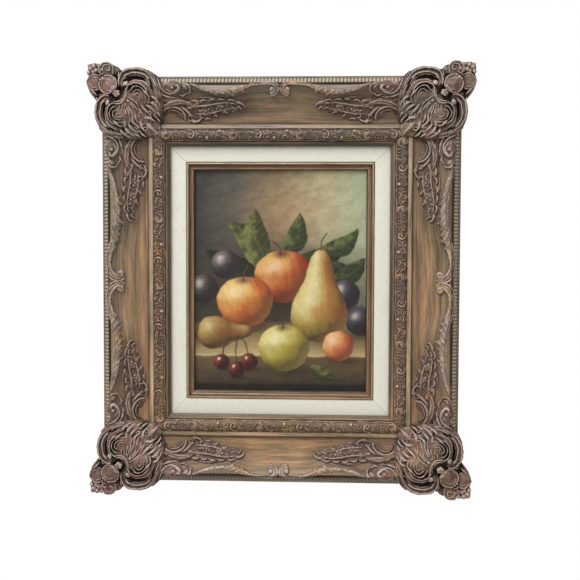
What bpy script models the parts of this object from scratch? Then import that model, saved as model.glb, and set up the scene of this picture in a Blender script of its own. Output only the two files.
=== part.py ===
"""A framed oil painting: a stretched canvas in a gilt fillet, a linen liner and a wide carved moulding.

Metres, +Z up. The front faces -Y and the flat back of the hanger, which meets the wall, lies at Y = 0.
The origin is in the middle of the hanger's back. Heights are measured from the wall towards the viewer.
"""

import math

import bmesh
import bpy
from mathutils import Matrix, Vector

MM = 0.001
GAP = 0.3 * MM  # between neighbouring pieces

# The canvas sets every other size in the frame's plane
CANVAS_WIDTH = 203.2 * MM
CANVAS_HEIGHT = 257.2 * MM
SIGHT_LAP = 7.3 * MM  # how far the fillet covers the canvas
FILLET_WIDTH = 8.4 * MM
LINER_WIDTH = 17.2 * MM
MOULDING_WIDTH = 76.3 * MM
BORDER = MOULDING_WIDTH + LINER_WIDTH + FILLET_WIDTH
FRAME_WIDTH = CANVAS_WIDTH - 2 * SIGHT_LAP + 2 * BORDER
FRAME_HEIGHT = CANVAS_HEIGHT - 2 * SIGHT_LAP + 2 * BORDER

# Heights from the wall
HANGER_THICK = 1.2 * MM
BACK = HANGER_THICK + GAP
EDGE_SHOULDER = 24.4 * MM
BED_FOOT = 33.4 * MM
CREST = 42.8 * MM
COVE_FLOOR = 30.5 * MM
LIP_UNDER = 27.3 * MM
LINER_FACE = 27.0 * MM
LINER_BACK = 8.0 * MM
CANVAS_FACE = 19.6 * MM
CANVAS_THICK = 1.0 * MM
FILLET_BACK = CANVAS_FACE + 0.4 * MM
EAR_HEIGHT = 33.0 * MM
EAR_BACK = 20.0 * MM

# Places across the moulding, from its outer edge inwards
FLUTED_EDGE = 8.7 * MM
CREST_AT = 15.0 * MM
COVE_END = 52.5 * MM
STRIP_END = 57.7 * MM
ORNAMENT_END = 70.6 * MM
REBATE = 66.8 * MM
COVE_STEPS = 7

# Stretcher and hanger
BAR_WIDTH = 38.0 * MM
BAR_THICK = 15.5 * MM
HANGER_LENGTH = 46.0 * MM
HANGER_WIDTH = 12.0 * MM
HANGER_DROP = 42.0 * MM  # from the frame's top edge down to the middle of the hanger
NAIL_FROM_END = 4.5 * MM
NAIL_HEAD_RADIUS = 1.9 * MM
NAIL_SHANK_RADIUS = 0.75 * MM
NAIL_DEPTH = 9.0 * MM

CENTRE_Z = HANGER_DROP - FRAME_HEIGHT / 2
SIDES = ("top", "right", "bottom", "left")
CORNERS = {
    "top_left": (-1, 1),
    "top_right": (1, 1),
    "bottom_right": (1, -1),
    "bottom_left": (-1, -1),
}

# Applied ribs and corner cartouches
RIB_START = 98.0 * MM  # from the frame's straight corner
VOLUTE_REACH = 30.0 * MM  # where the rib starts to turn, from the rail's middle
VOLUTE_STEPS = 9
RIB_VOXEL = 0.8 * MM
RIB_TRIANGLES = 205
CARTOUCHE_VOXEL = 1.3 * MM
CARTOUCHE_TRIANGLES = 820
WING_TUCK = 3.4  # how much less the side wing reaches past its rail, in mm


def clear_scene():
    for found in list(bpy.data.objects):
        bpy.data.objects.remove(found, do_unlink=True)


def collection(name):
    made = bpy.data.collections.new(name)
    bpy.context.scene.collection.children.link(made)
    return made


def material(name, colour, roughness, metallic=0.0):
    made = bpy.data.materials.new(name)
    made.use_nodes = True
    shader = made.node_tree.nodes["Principled BSDF"]
    shader.inputs["Base Color"].default_value = (*colour, 1.0)
    shader.inputs["Roughness"].default_value = roughness
    shader.inputs["Metallic"].default_value = metallic
    return made


def mesh_object(name, mesh, where, finish=None):
    made = bpy.data.objects.new(name, mesh)
    where.objects.link(made)
    if finish:
        made.data.materials.clear()
        made.data.materials.append(finish)
    return made


def move_to(made, where):
    for owner in list(made.users_collection):
        owner.objects.unlink(made)
    where.objects.link(made)


def helper(made):
    made.hide_render = True
    made.display_type = "WIRE"
    return made


def evaluated_mesh(made):
    bpy.context.view_layer.update()
    graph = bpy.context.evaluated_depsgraph_get()
    return bpy.data.meshes.new_from_object(made.evaluated_get(graph))


def to_mesh(curve_object):
    """A closed mesh of a curve object, which is then removed."""
    mesh = evaluated_mesh(curve_object)
    bpy.data.objects.remove(curve_object, do_unlink=True)
    weld(mesh)
    return mesh


def weld(mesh):
    work = bmesh.new()
    work.from_mesh(mesh)
    bmesh.ops.remove_doubles(work, verts=work.verts, dist=0.00001)
    bmesh.ops.recalc_face_normals(work, faces=work.faces)
    work.to_mesh(mesh)
    work.free()


def boolean(target, cutter, operation, solver="EXACT"):
    modifier = target.modifiers.new(operation.title(), "BOOLEAN")
    modifier.operation = operation
    modifier.solver = solver
    modifier.object = cutter


# ---------------------------------------------------------------- sections


def ellipse_arc(centre, radii, start, end, steps):
    """Points on an ellipse from one angle to another, in degrees."""
    points = []
    for step in range(steps + 1):
        angle = math.radians(start + (end - start) * step / steps)
        points.append((centre[0] + radii[0] * math.cos(angle), centre[1] + radii[1] * math.sin(angle)))
    return points


def moulding_face():
    """The moulding's front from its outer edge to its sight edge, as (distance in, height)."""
    fluted = [
        (0.0, EDGE_SHOULDER),
        (0.25 * FLUTED_EDGE, 28.0 * MM),
        (0.71 * FLUTED_EDGE, 32.6 * MM),
        (FLUTED_EDGE, BED_FOOT + 1.1 * MM),
    ]
    quirk = [(FLUTED_EDGE + 0.3 * MM, BED_FOOT), (FLUTED_EDGE + 1.5 * MM, BED_FOOT)]
    slope = [(11.6 * MM, 38.6 * MM), (13.0 * MM, 41.4 * MM)]
    cove = []
    for step in range(COVE_STEPS + 1):
        share = step / COVE_STEPS
        height = COVE_FLOOR + (CREST - COVE_FLOOR) * (1 - share) ** 1.9
        cove.append((CREST_AT + share * (COVE_END - CREST_AT), height))
    strip = [(COVE_END + 0.5 * MM, COVE_FLOOR + 3.0 * MM), (STRIP_END, COVE_FLOOR + 3.5 * MM)]
    torus_radii = ((ORNAMENT_END - STRIP_END) / 2 - 0.2 * MM, 5.0 * MM)
    torus_centre = ((ORNAMENT_END + STRIP_END) / 2, COVE_FLOOR + 2.6 * MM)
    torus = ellipse_arc(torus_centre, torus_radii, 180, 0, 6)
    bead_centre = (ORNAMENT_END + 1.6 * MM, COVE_FLOOR + 1.2 * MM)
    bead = ellipse_arc(bead_centre, (1.3 * MM, 1.3 * MM), 150, 0, 3)
    lip = [(MOULDING_WIDTH, COVE_FLOOR - 0.6 * MM)]
    return fluted + quirk + slope + cove + strip + torus + bead + lip


def moulding_section():
    back = [(MOULDING_WIDTH, LIP_UNDER), (REBATE, LIP_UNDER), (REBATE, BACK), (0.0, BACK)]
    return moulding_face() + back


def liner_section():
    outer = REBATE + GAP
    inner = MOULDING_WIDTH + LINER_WIDTH - GAP
    return [(outer, LINER_BACK), (outer, LINER_FACE), (inner, LINER_FACE - 0.4 * MM), (inner, LINER_BACK)]


def fillet_section():
    """A raised bead against the linen, a groove, and a lip that drops to the canvas."""
    outer = MOULDING_WIDTH + LINER_WIDTH
    inner = outer + FILLET_WIDTH
    bead = ellipse_arc((outer + 1.4 * MM, LINER_FACE - 0.4 * MM), (1.4 * MM, 1.4 * MM), 180, 0, 4)
    groove = [(outer + 3.0 * MM, 25.3 * MM), (outer + 4.6 * MM, 23.6 * MM)]
    lip = [(outer + 5.8 * MM, 23.8 * MM), (inner - 1.2 * MM, 23.4 * MM), (inner, 21.0 * MM)]
    return [(outer, FILLET_BACK)] + bead + groove + lip + [(inner, FILLET_BACK)]


def grown(outline, by):
    """A closed outline moved outwards by a distance."""
    made = []
    turn = sum(a[0] * b[1] - b[0] * a[1] for a, b in zip(outline, outline[1:] + outline[:1]))
    sign = 1 if turn > 0 else -1
    for before, here, after in zip(outline[-1:] + outline[:-1], outline, outline[1:] + outline[:1]):
        first = (Vector(here) - Vector(before)).normalized()
        second = (Vector(after) - Vector(here)).normalized()
        out_first = Vector((first.y, -first.x)) * sign
        out_second = Vector((second.y, -second.x)) * sign
        corner = (out_first + out_second) / max(0.5, 1 + out_first.dot(out_second))
        made.append(tuple(Vector(here) + corner * by))
    return made


def face_height(across):
    """The height of the moulding's front at a distance in from its outer edge."""
    face = moulding_face()
    if across <= 0:
        return EAR_HEIGHT
    for (x0, h0), (x1, h1) in zip(face, face[1:]):
        if x0 <= across <= x1 and x1 > x0:
            return h0 + (h1 - h0) * (across - x0) / (x1 - x0)
    return face[-1][1]


# ---------------------------------------------------------------- mitred lengths


def side_length(side):
    return FRAME_WIDTH if side in ("top", "bottom") else FRAME_HEIGHT


def side_matrix(side):
    """Turns a length that was made for the top, outer edge up, to its own side of the frame."""
    turn = Matrix.Rotation(math.radians(90 * SIDES.index(side)), 4, "Y")
    reach = (FRAME_HEIGHT if side in ("top", "bottom") else FRAME_WIDTH) / 2
    return Matrix.Translation((0, 0, CENTRE_Z)) @ turn @ Matrix.Translation((0, 0, reach))


def mitred_mesh(name, section, length, clearance):
    """A section swept along X and cut to 45 degrees at both ends, outer edge at Z = 0, front at -Y."""
    flat = bpy.data.curves.new(name, "CURVE")
    flat.dimensions = "2D"
    flat.fill_mode = "BOTH"
    flat.extrude = length / 2
    line = flat.splines.new("POLY")
    line.points.add(len(section) - 1)
    line.use_cyclic_u = True
    for point, (across, height) in zip(line.points, section):
        point.co = (across, height, 0, 1)
    holder = bpy.data.objects.new(name, flat)
    bpy.context.scene.collection.objects.link(holder)
    mesh = to_mesh(holder)
    for vertex in mesh.vertices:
        across, height, along = vertex.co
        half = length / 2 - across - clearance
        vertex.co = (math.copysign(half, along), -height, -across)
    weld(mesh)
    return mesh


def mitred_length(part, side, section, where, finish, clearance=0.15 * MM):
    mesh = mitred_mesh(f"{part}_{side}", section, side_length(side), clearance)
    made = mesh_object(f"{part}_{side}", mesh, where, finish)
    made.matrix_world = side_matrix(side)
    return made


# ---------------------------------------------------------------- strokes


def smooth_path(points, steps):
    """A Catmull-Rom curve through rows of numbers."""
    rows = [points[0]] + list(points) + [points[-1]]
    made = []
    for a, b, c, d in zip(rows, rows[1:], rows[2:], rows[3:]):
        for step in range(steps):
            t = step / steps
            row = []
            for p, q, r, s in zip(a, b, c, d):
                bend = (2 * p - 5 * q + 4 * r - s) * t * t + (3 * q - p - 3 * r + s) * t**3
                row.append(0.5 * (2 * q + (r - p) * t + bend))
            made.append(row)
    made.append(list(points[-1]))
    return made


def domed(rows):
    """Rows of x, y, z and radius with a rounded end added at both ends."""
    made = []
    for end, inner in ((rows[0], rows[1]), (rows[-1], rows[-2])):
        away = (Vector(end[:3]) - Vector(inner[:3])).normalized()
        cap = []
        for share, narrow in ((0.9, 0.44), (0.6, 0.8)):
            place = Vector(end[:3]) + away * (share * end[3])
            cap.append((*place, narrow * end[3]))
        made.append(cap)
    return made[0] + list(rows) + made[1][::-1]


def stroke_mesh(name, rows, sides=2):
    """A round tube along rows of x, y, z and radius, domed and closed at its ends."""
    rows = domed(rows)
    curve = bpy.data.curves.new(name, "CURVE")
    curve.dimensions = "3D"
    curve.bevel_depth = 1.0 * MM
    curve.bevel_resolution = sides
    curve.use_fill_caps = True
    line = curve.splines.new("POLY")
    line.points.add(len(rows) - 1)
    for point, (x, y, z, radius) in zip(line.points, rows):
        point.co = (x, y, z, 1)
        point.radius = radius / MM
    holder = bpy.data.objects.new(name, curve)
    bpy.context.scene.collection.objects.link(holder)
    return to_mesh(holder)


def rib_rows(half, hand):
    """The swept rib of half a rail: it leaves the corner, bows into the cove and ends in a volute."""
    span = half - RIB_START - VOLUTE_REACH
    # share of the span, distance in and radius, the last two in mm
    sweep = [(0.0, 8.4, 1.8), (0.14, 12.8, 3.2), (0.28, 16.4, 3.8), (0.45, 18.6, 4.0)]
    sweep += [(0.6, 18.8, 4.0), (0.75, 16.8, 3.8), (0.88, 13.8, 3.5), (1.0, 11.2, 3.3)]
    rows = [(RIB_START + share * span, across * MM, radius * MM) for share, across, radius in sweep]
    eye = (half - 9.8 * MM, 17.4 * MM)
    for step in range(VOLUTE_STEPS):
        turn = math.radians(250 + 43 * step)
        reach = (7.0 - 0.62 * step) * MM
        along = eye[0] + 0.92 * reach * math.cos(turn)
        across = eye[1] + 1.25 * reach * math.sin(turn)
        rows.append((along, across, (3.1 - 0.16 * step) * MM))
    made = []
    for along, across, radius in smooth_path(rows, 2):
        height = face_height(across) + 0.45 * radius
        made.append((hand * (half - along), -height, -across, radius))
    return made


def fuse_strokes(made, voxel, triangles):
    """Fuses crossing strokes to one skin, then thins it to about this many triangles."""
    fuse = made.modifiers.new("Fuse", "REMESH")
    fuse.mode = "VOXEL"
    fuse.voxel_size = voxel
    fused_triangles = 2 * len(evaluated_mesh(made).polygons)
    thin = made.modifiers.new("Thin", "DECIMATE")
    thin.ratio = min(1.0, triangles / fused_triangles)


def build_rail(side, where, helpers, finish):
    rail = mitred_length("rail", side, moulding_section(), where, finish)
    half = side_length(side) / 2
    for hand, name in ((-1, "first"), (1, "second")):
        rib_name = f"rib_{side}_{name}"
        rib = helper(mesh_object(rib_name, stroke_mesh(rib_name, rib_rows(half, hand)), helpers))
        rib.matrix_world = side_matrix(side)
        fuse_strokes(rib, RIB_VOXEL, RIB_TRIANGLES)
        boolean(rail, rib, "UNION", "MANIFOLD")
    return rail


# ---------------------------------------------------------------- corner cartouches


def corner_strokes():
    """One wing and the middle of a cartouche, as rows of (along, across, rise, radius) in mm.

    Both distances start at the frame's straight corner: along the edge, and in from it.
    """
    wing = [
        # the ground that carries the ornament
        [(8, 8, -4, 9), (24, 8, -5, 9.5), (42, 7, -5, 9), (56, 7, -4, 7), (64, 7, -2, 4.6)],
        [(16, 16, -5, 11), (32, 22, -5, 11), (46, 24, -6, 10), (57, 24, -5, 8)],
        [(30, 30, -6, 12), (44, 36, -5, 10), (58, 42, -4, 7)],
        [(60, 0, -2, 3.6), (50, -1, -3, 5.6), (40, -1.5, -3, 6.4), (28, -1, -3, 6.4)],
        # the hollow scroll over the edge: its outer rim, inner rim and curl
        [(68, 6, 0, 2.2), (58, -3.5, 3, 2.8), (43, -6, 4, 3), (29, -3, 4, 3.2)],
        [(29, -3, 4, 3.2), (24, 5, 4, 3), (31, 8, 5, 3.2)],
        [(66, 9, 1, 2.4), (55, 11, 3, 2.8), (43, 11.5, 4, 3), (32, 10, 4, 3.2)],
        # the disc beside the tip
        [(12, -5, 0, 7.6), (6, -6, 1, 8.6), (2, -5, 1, 7.6)],
        # the leaves behind the scroll
        [(34, 18, 1, 5.5), (43, 20, 2, 5.5), (52, 19, 1, 4.2), (60, 16, 0, 2.2)],
        [(33, 28, 1, 5.5), (45, 30, 2, 5), (56, 33, 2, 3.8), (65, 38, 1, 2)],
        [(36, 38, 1, 5), (48, 42, 2, 4.6), (58, 47, 1.5, 3.4), (66, 52, 0.5, 1.8)],
        # the rolled leaf that the rib springs from
        [(58, 9, 1, 3.6), (67, 10, 1.5, 4.4), (76, 9.5, 2, 5.6), (85, 9, 1.6, 4.6), (92, 8, 0.8, 2.4)],
        # the spray in the cove
        [(58, 36, 1.5, 3), (70, 33, 2, 3.6), (84, 28.5, 2, 3.6), (97, 31, 2, 4), (108, 35, 2, 3.6)],
        [(97, 31, 1.4, 4.4), (112, 29, 1, 4.8), (126, 28, 0, 3.6), (136, 28.5, -0.8, 1.6)],
        [(78, 31, 1, 3), (90, 38, 1.6, 2.8), (101, 41, 1.2, 2)],
    ]
    middle = [
        [(14, 14, 0, 9), (24, 24, 1, 9), (34, 34, 0, 8), (44, 44, 2, 7)],
        [(44, 44, 1, 7), (55, 55, 2, 5.2), (66, 66, 1, 2.6)],
        [(10, 10, 0, 10.8), (11, 11, 1, 10.8)],
        [(19, 18, 5, 5), (20, 19, 5.5, 5)],
        [(-10, -11, 1, 5.6), (-5, -6, 2, 6), (3, 2, 1, 6)],
    ]
    return wing, middle


def corner_rows(stroke, signs, swapped):
    """A stroke on one corner of the frame; swapped strokes run down the side edge and reach out less."""
    made = []
    for along, across, rise, radius in smooth_path(stroke, 3):
        if swapped and along > 20:
            across += WING_TUCK * min(max((13 - across) / 13, 0), 1)
        from_side, from_top = (across, along) if swapped else (along, across)
        height = face_height(min(from_side, from_top) * MM) + rise * MM
        x = signs[0] * (FRAME_WIDTH / 2 - from_side * MM)
        z = CENTRE_Z + signs[1] * (FRAME_HEIGHT / 2 - from_top * MM)
        made.append((x, -height, z, radius * MM))
    return made


def join_meshes(name, meshes):
    work = bmesh.new()
    for mesh in meshes:
        work.from_mesh(mesh)
    joined = bpy.data.meshes.new(name)
    work.to_mesh(joined)
    work.free()
    return joined


def largest_body(mesh):
    """Keeps the biggest closed body of a mesh: a cut can leave crumbs along its edges."""
    work = bmesh.new()
    work.from_mesh(mesh)
    bmesh.ops.remove_doubles(work, verts=work.verts, dist=0.000001)
    bodies, seen = [], set()
    for start in work.verts:
        if start in seen:
            continue
        body, waiting = [], [start]
        seen.add(start)
        while waiting:
            here = waiting.pop()
            body.append(here)
            for edge in here.link_edges:
                other = edge.other_vert(here)
                if other not in seen:
                    seen.add(other)
                    waiting.append(other)
        bodies.append(body)
    bodies.sort(key=len)
    crumbs = [vertex for body in bodies[:-1] for vertex in body]
    bmesh.ops.delete(work, geom=crumbs, context="VERTS")
    work.to_mesh(mesh)
    work.free()


def build_corner(name, signs, where, seats, finish):
    """A cartouche with its sprays: strokes fused to one body, then cut to sit on the mitred rails."""
    wing, middle = corner_strokes()
    strokes = [(stroke, swapped) for stroke in wing for swapped in (False, True)]
    strokes += [(stroke, False) for stroke in middle]
    meshes = []
    for index, (stroke, swapped) in enumerate(strokes):
        meshes.append(stroke_mesh(f"{name}_{index}", corner_rows(stroke, signs, swapped)))
    corner = mesh_object(f"corner_{name}", join_meshes(f"corner_{name}", meshes), where, finish)
    fuse_strokes(corner, CARTOUCHE_VOXEL, CARTOUCHE_TRIANGLES)
    for seat in seats:
        boolean(corner, seat, "DIFFERENCE", "MANIFOLD")
    cut = evaluated_mesh(corner)
    corner.modifiers.clear()
    largest_body(cut)
    corner.data = cut
    return corner


def build_seats(helpers):
    """What the cartouches are cut by: the rails grown by the gap, and all that lies behind the ears."""
    seats = {}
    for side in SIDES:
        section = grown(moulding_section(), GAP)
        mesh = mitred_mesh(f"seat_{side}", section, side_length(side), -0.5 * MM)
        seats[side] = helper(mesh_object(f"seat_{side}", mesh, helpers))
        seats[side].matrix_world = side_matrix(side)
    bpy.ops.mesh.primitive_cube_add(size=1)
    behind = bpy.context.object
    behind.name = "behind_ears"
    behind.scale = (2 * FRAME_WIDTH, 2 * EAR_BACK, 2 * FRAME_HEIGHT)
    behind.location = (0, 0, CENTRE_Z)
    bpy.ops.object.transform_apply(location=True, rotation=False, scale=True)
    move_to(behind, helpers)
    seats["behind"] = helper(behind)
    return seats


# ---------------------------------------------------------------- canvas, stretcher, hanger


def box(name, size, centre, where, finish=None):
    bpy.ops.mesh.primitive_cube_add(size=1)
    made = bpy.context.object
    made.name = name
    made.data.name = name
    made.scale = size
    made.location = centre
    bpy.ops.object.transform_apply(location=False, rotation=False, scale=True)
    move_to(made, where)
    if finish:
        made.data.materials.append(finish)
    return made


def build_canvas(where, finish):
    middle = -(CANVAS_FACE - CANVAS_THICK / 2)
    size = (CANVAS_WIDTH, CANVAS_THICK, CANVAS_HEIGHT)
    return box("canvas", size, (0, middle, CENTRE_Z), where, finish)


def build_stretcher(where, finish):
    """Four mitred bars with a raised outer lip, so that the canvas touches only their edges."""
    outer = BORDER - SIGHT_LAP + 1.2 * MM
    front = CANVAS_FACE - CANVAS_THICK - GAP
    inner = outer + BAR_WIDTH
    section = [
        (outer, front - BAR_THICK),
        (outer, front),
        (outer + 4.0 * MM, front),
        (outer + 7.0 * MM, front - 1.6 * MM),
        (inner, front - 3.2 * MM),
        (inner, front - BAR_THICK),
    ]
    for side in SIDES:
        mitred_length("stretcher", side, section, where, finish)


def cylinder(name, radius, depth, centre, where, finish=None, sides=20):
    """A round piece whose axis runs front to back."""
    bpy.ops.mesh.primitive_cylinder_add(vertices=sides, radius=radius, depth=depth)
    made = bpy.context.object
    made.name = name
    made.data.name = name
    made.data.transform(Matrix.Rotation(math.radians(90), 4, "X"))
    made.location = centre
    move_to(made, where)
    if finish:
        made.data.materials.append(finish)
    return made


def hanger_outline():
    """A rounded plate, whose window lies below its middle."""
    half_length, half_width, corner = HANGER_LENGTH / 2, HANGER_WIDTH / 2, 2.0 * MM
    outline = []
    for x, z, start in ((1, 1, 0), (-1, 1, 90), (-1, -1, 180), (1, -1, 270)):
        centre = (x * (half_length - corner), z * (half_width - corner))
        outline += ellipse_arc(centre, (corner, corner), start, start + 90, 4)
    return outline


def hanger_window():
    """The window's upper edge is a row of teeth, which the nail in the wall catches between."""
    half_length, low, tips, teeth = 14.0 * MM, -4.6 * MM, -2.4 * MM, 12
    tooth_depth = 1.4 * MM
    window = [(-half_length, low), (half_length, low)]
    pitch = 2 * half_length / teeth
    for tooth in range(teeth):
        right = half_length - tooth * pitch
        window += [(right, tips), (right - pitch / 2, tips + tooth_depth)]
    window.append((-half_length, tips))
    return window


def build_hanger(where, helpers, rail, steel):
    plate = bpy.data.curves.new("hanger", "CURVE")
    plate.dimensions = "2D"
    plate.fill_mode = "BOTH"
    plate.extrude = HANGER_THICK / 2
    for outline in (hanger_outline(), hanger_window()):
        line = plate.splines.new("POLY")
        line.points.add(len(outline) - 1)
        line.use_cyclic_u = True
        for point, (x, z) in zip(line.points, outline):
            point.co = (x, z, 0, 1)
    holder = bpy.data.objects.new("hanger", plate)
    bpy.context.scene.collection.objects.link(holder)
    mesh = to_mesh(holder)
    mesh.transform(Matrix.Rotation(math.radians(90), 4, "X"))
    hanger = mesh_object("hanger", mesh, where, steel)
    hanger.location = (0, -HANGER_THICK / 2, 0)
    for hand, name in ((-1, "hanger_nail_left"), (1, "hanger_nail_right")):
        x = hand * (HANGER_LENGTH / 2 - NAIL_FROM_END)
        head_thick = HANGER_THICK - GAP
        nail = cylinder(name, NAIL_HEAD_RADIUS, head_thick, (x, -GAP - head_thick / 2, 0), where, steel)
        shank_end = (x, -GAP - NAIL_DEPTH / 2, 0)
        shank = cylinder(name + "_shank", NAIL_SHANK_RADIUS, NAIL_DEPTH, shank_end, helpers, sides=12)
        boolean(nail, helper(shank), "UNION")
        plate_hole = (x, -HANGER_THICK / 2, 0)
        hole = cylinder(name + "_hole", NAIL_HEAD_RADIUS + GAP, 4 * HANGER_THICK, plate_hole, helpers)
        boolean(hanger, helper(hole), "DIFFERENCE")
        drill_length = 2 * (NAIL_DEPTH + 3 * GAP)
        drilled_radius = NAIL_SHANK_RADIUS + GAP
        drilled = cylinder(name + "_drilled", drilled_radius, drill_length, (x, 0, 0), helpers, sides=12)
        boolean(rail, helper(drilled), "DIFFERENCE")


def main():
    clear_scene()
    parts = collection("framed_oil_painting")
    helpers = collection("cutters")
    finishes = {
        "moulding": material("moulding", (0.30, 0.21, 0.12), 0.5),
        "cartouche": material("cartouche", (0.17, 0.12, 0.085), 0.55),
        "linen": material("linen", (0.77, 0.75, 0.66), 0.9),
        "fillet": material("fillet", (0.33, 0.22, 0.12), 0.4, 0.3),
        "canvas": material("canvas", (0.22, 0.20, 0.13), 0.5),
        "bare_wood": material("bare_wood", (0.55, 0.38, 0.22), 0.7),
        "steel": material("steel", (0.56, 0.55, 0.53), 0.35, 1.0),
    }
    rails = {side: build_rail(side, parts, helpers, finishes["moulding"]) for side in SIDES}
    seats = build_seats(helpers)
    for name, signs in CORNERS.items():
        vertical, horizontal = name.split("_")
        cut_by = (seats[vertical], seats[horizontal], seats["behind"])
        build_corner(name, signs, parts, cut_by, finishes["cartouche"])
    for side in SIDES:
        mitred_length("liner", side, liner_section(), parts, finishes["linen"])
        mitred_length("fillet", side, fillet_section(), parts, finishes["fillet"])
    build_canvas(parts, finishes["canvas"])
    build_stretcher(parts, finishes["bare_wood"])
    build_hanger(parts, helpers, rails["top"], finishes["steel"])


main()
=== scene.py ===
# %% [markdown]
# # A framed oil painting
# A small oil painting in a wide carved moulding. From the outside inwards it has a fluted edge, a deep
# wooden cove with swept ribs and leaf sprays laid on it, a running ornament, a linen liner, a gilt fillet
# and the canvas. Each corner carries a cast cartouche. The whole hangs on a plate behind the top rail.
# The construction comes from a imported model, which gives every size and place. This script adds the looks.

# %% Open the frame
import math

import bpy
import numpy as np
from mathutils import Matrix, Vector


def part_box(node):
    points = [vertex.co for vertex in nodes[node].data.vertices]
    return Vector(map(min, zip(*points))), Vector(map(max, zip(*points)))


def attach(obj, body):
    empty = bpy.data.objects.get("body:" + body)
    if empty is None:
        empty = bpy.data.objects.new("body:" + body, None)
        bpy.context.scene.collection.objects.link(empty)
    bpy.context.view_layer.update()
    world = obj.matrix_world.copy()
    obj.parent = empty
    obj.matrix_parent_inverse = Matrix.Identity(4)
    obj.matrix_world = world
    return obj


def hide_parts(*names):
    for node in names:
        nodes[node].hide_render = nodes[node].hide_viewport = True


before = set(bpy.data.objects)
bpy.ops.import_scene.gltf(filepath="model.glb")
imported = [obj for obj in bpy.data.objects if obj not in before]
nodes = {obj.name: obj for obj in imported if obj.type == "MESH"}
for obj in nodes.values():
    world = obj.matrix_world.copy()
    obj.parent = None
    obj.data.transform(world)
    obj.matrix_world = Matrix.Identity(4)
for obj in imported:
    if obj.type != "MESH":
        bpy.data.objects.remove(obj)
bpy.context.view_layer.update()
print("pieces in the frame:", len(nodes))

# %% [markdown]
# ## Driving sizes
# Every place below is worked out from the solids: the straight outer edge, the width of the moulding, of
# the liner and of the fillet. Flat drawings are made in millimetres, because a carver's strokes are easier
# to read that way, and they are scaled to metres when they are laid on the moulding.

# %% Measure the frame
MM = 0.001
SIDES = ("top", "right", "bottom", "left")
CORNERS = {"top_left": (-1, 1), "top_right": (1, 1), "bottom_right": (1, -1), "bottom_left": (-1, -1)}

left_rail, right_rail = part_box("rail_left"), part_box("rail_right")
top_rail, bottom_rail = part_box("rail_top"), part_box("rail_bottom")
WIDTH = (right_rail[1].x - left_rail[0].x) / MM
HEIGHT = (top_rail[1].z - bottom_rail[0].z) / MM
CENTRE_Z = (top_rail[1].z + bottom_rail[0].z) / 2 / MM
MOULDING_WIDTH = (left_rail[1].x - left_rail[0].x) / MM
LINER_END = (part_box("liner_left")[1].x - left_rail[0].x) / MM + 0.3
SIGHT = (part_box("fillet_left")[1].x - left_rail[0].x) / MM
CANVAS_FACE = -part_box("canvas")[0].y / MM
BACK = -left_rail[1].y / MM
print(f"frame {WIDTH:.1f} by {HEIGHT:.1f} mm, centre {CENTRE_Z:.1f}, moulding {MOULDING_WIDTH:.1f} mm")
print(f"liner ends {LINER_END:.1f} mm in, sight edge {SIGHT:.1f} mm in, canvas {CANVAS_FACE:.1f} mm high")


def half_length(side):
    return (WIDTH if side in ("top", "bottom") else HEIGHT) / 2


# %% [markdown]
# ## The camera
# The frame is seen from straight ahead, a little from the right and a little from above, at about arm's
# length and a half. A long lens keeps its sides almost parallel.

# %% Place the camera
CAMERA_DISTANCE = 1.2
LENS = 67.8  # in mm
LOOK_AT = Vector((0.0111, -0.025, CENTRE_Z * MM - 0.0095))
AZIMUTH, ELEVATION, ROLL = math.radians(3.03), math.radians(3.36), math.radians(-0.2)

view_back = Vector((
    math.sin(AZIMUTH) * math.cos(ELEVATION),
    -math.cos(AZIMUTH) * math.cos(ELEVATION),
    math.sin(ELEVATION),
))
bpy.ops.object.camera_add(location=LOOK_AT + view_back * CAMERA_DISTANCE)
camera = bpy.context.object
camera.name = "camera"
camera.rotation_mode = "QUATERNION"
turn = (-view_back).to_track_quat("-Z", "Y").to_matrix() @ Matrix.Rotation(-ROLL, 3, "Z")
camera.rotation_quaternion = turn.to_quaternion()
camera.data.lens = LENS
camera.data.clip_start, camera.data.clip_end = 0.05, 20
bpy.context.scene.camera = camera
print("camera at", tuple(round(v, 3) for v in camera.location))

# %% [markdown]
# ## Light and floor
# A white studio: the surroundings are white, one large soft lamp hangs above and to the left, and a weak
# one fills from the right. The frame hangs, so the pale floor lies well below it.

# %% Light the studio
KEY_PLACE, KEY_SIZE, KEY_POWER = (-0.92, -1.22, 1.58), (1.3, 1.0), 49
FILL_PLACE, FILL_SIZE, FILL_POWER = (0.9, -1.9, 0.1), (1.2, 1.2), 7
FLOOR_DEPTH = 1.6
MIDDLE = Vector((0, 0, CENTRE_Z * MM))

scene = bpy.context.scene
scene.view_settings.view_transform = "Standard"
studio = bpy.data.worlds.new("white_studio")
scene.world = studio
studio.use_nodes = True
tree = studio.node_tree
tree.nodes.clear()
seen, ambient = tree.nodes.new("ShaderNodeBackground"), tree.nodes.new("ShaderNodeBackground")
seen.inputs["Color"].default_value = (1, 1, 1, 1)
ambient.inputs["Color"].default_value = (1.0, 0.96, 0.9, 1)
height = tree.nodes.new("ShaderNodeSeparateXYZ")
tree.links.new(tree.nodes.new("ShaderNodeTexCoord").outputs["Generated"], height.inputs[0])
glow = tree.nodes.new("ShaderNodeMapRange")
for name, value in (("From Min", -0.5), ("From Max", 0.5), ("To Min", 0.12), ("To Max", 0.62)):
    glow.inputs[name].default_value = value
tree.links.new(height.outputs["Z"], glow.inputs["Value"])
tree.links.new(glow.outputs[0], ambient.inputs["Strength"])
path, mixed = tree.nodes.new("ShaderNodeLightPath"), tree.nodes.new("ShaderNodeMixShader")
out = tree.nodes.new("ShaderNodeOutputWorld")
tree.links.new(path.outputs["Is Camera Ray"], mixed.inputs["Fac"])
tree.links.new(ambient.outputs[0], mixed.inputs[1])
tree.links.new(seen.outputs[0], mixed.inputs[2])
tree.links.new(mixed.outputs[0], out.inputs["Surface"])


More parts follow.
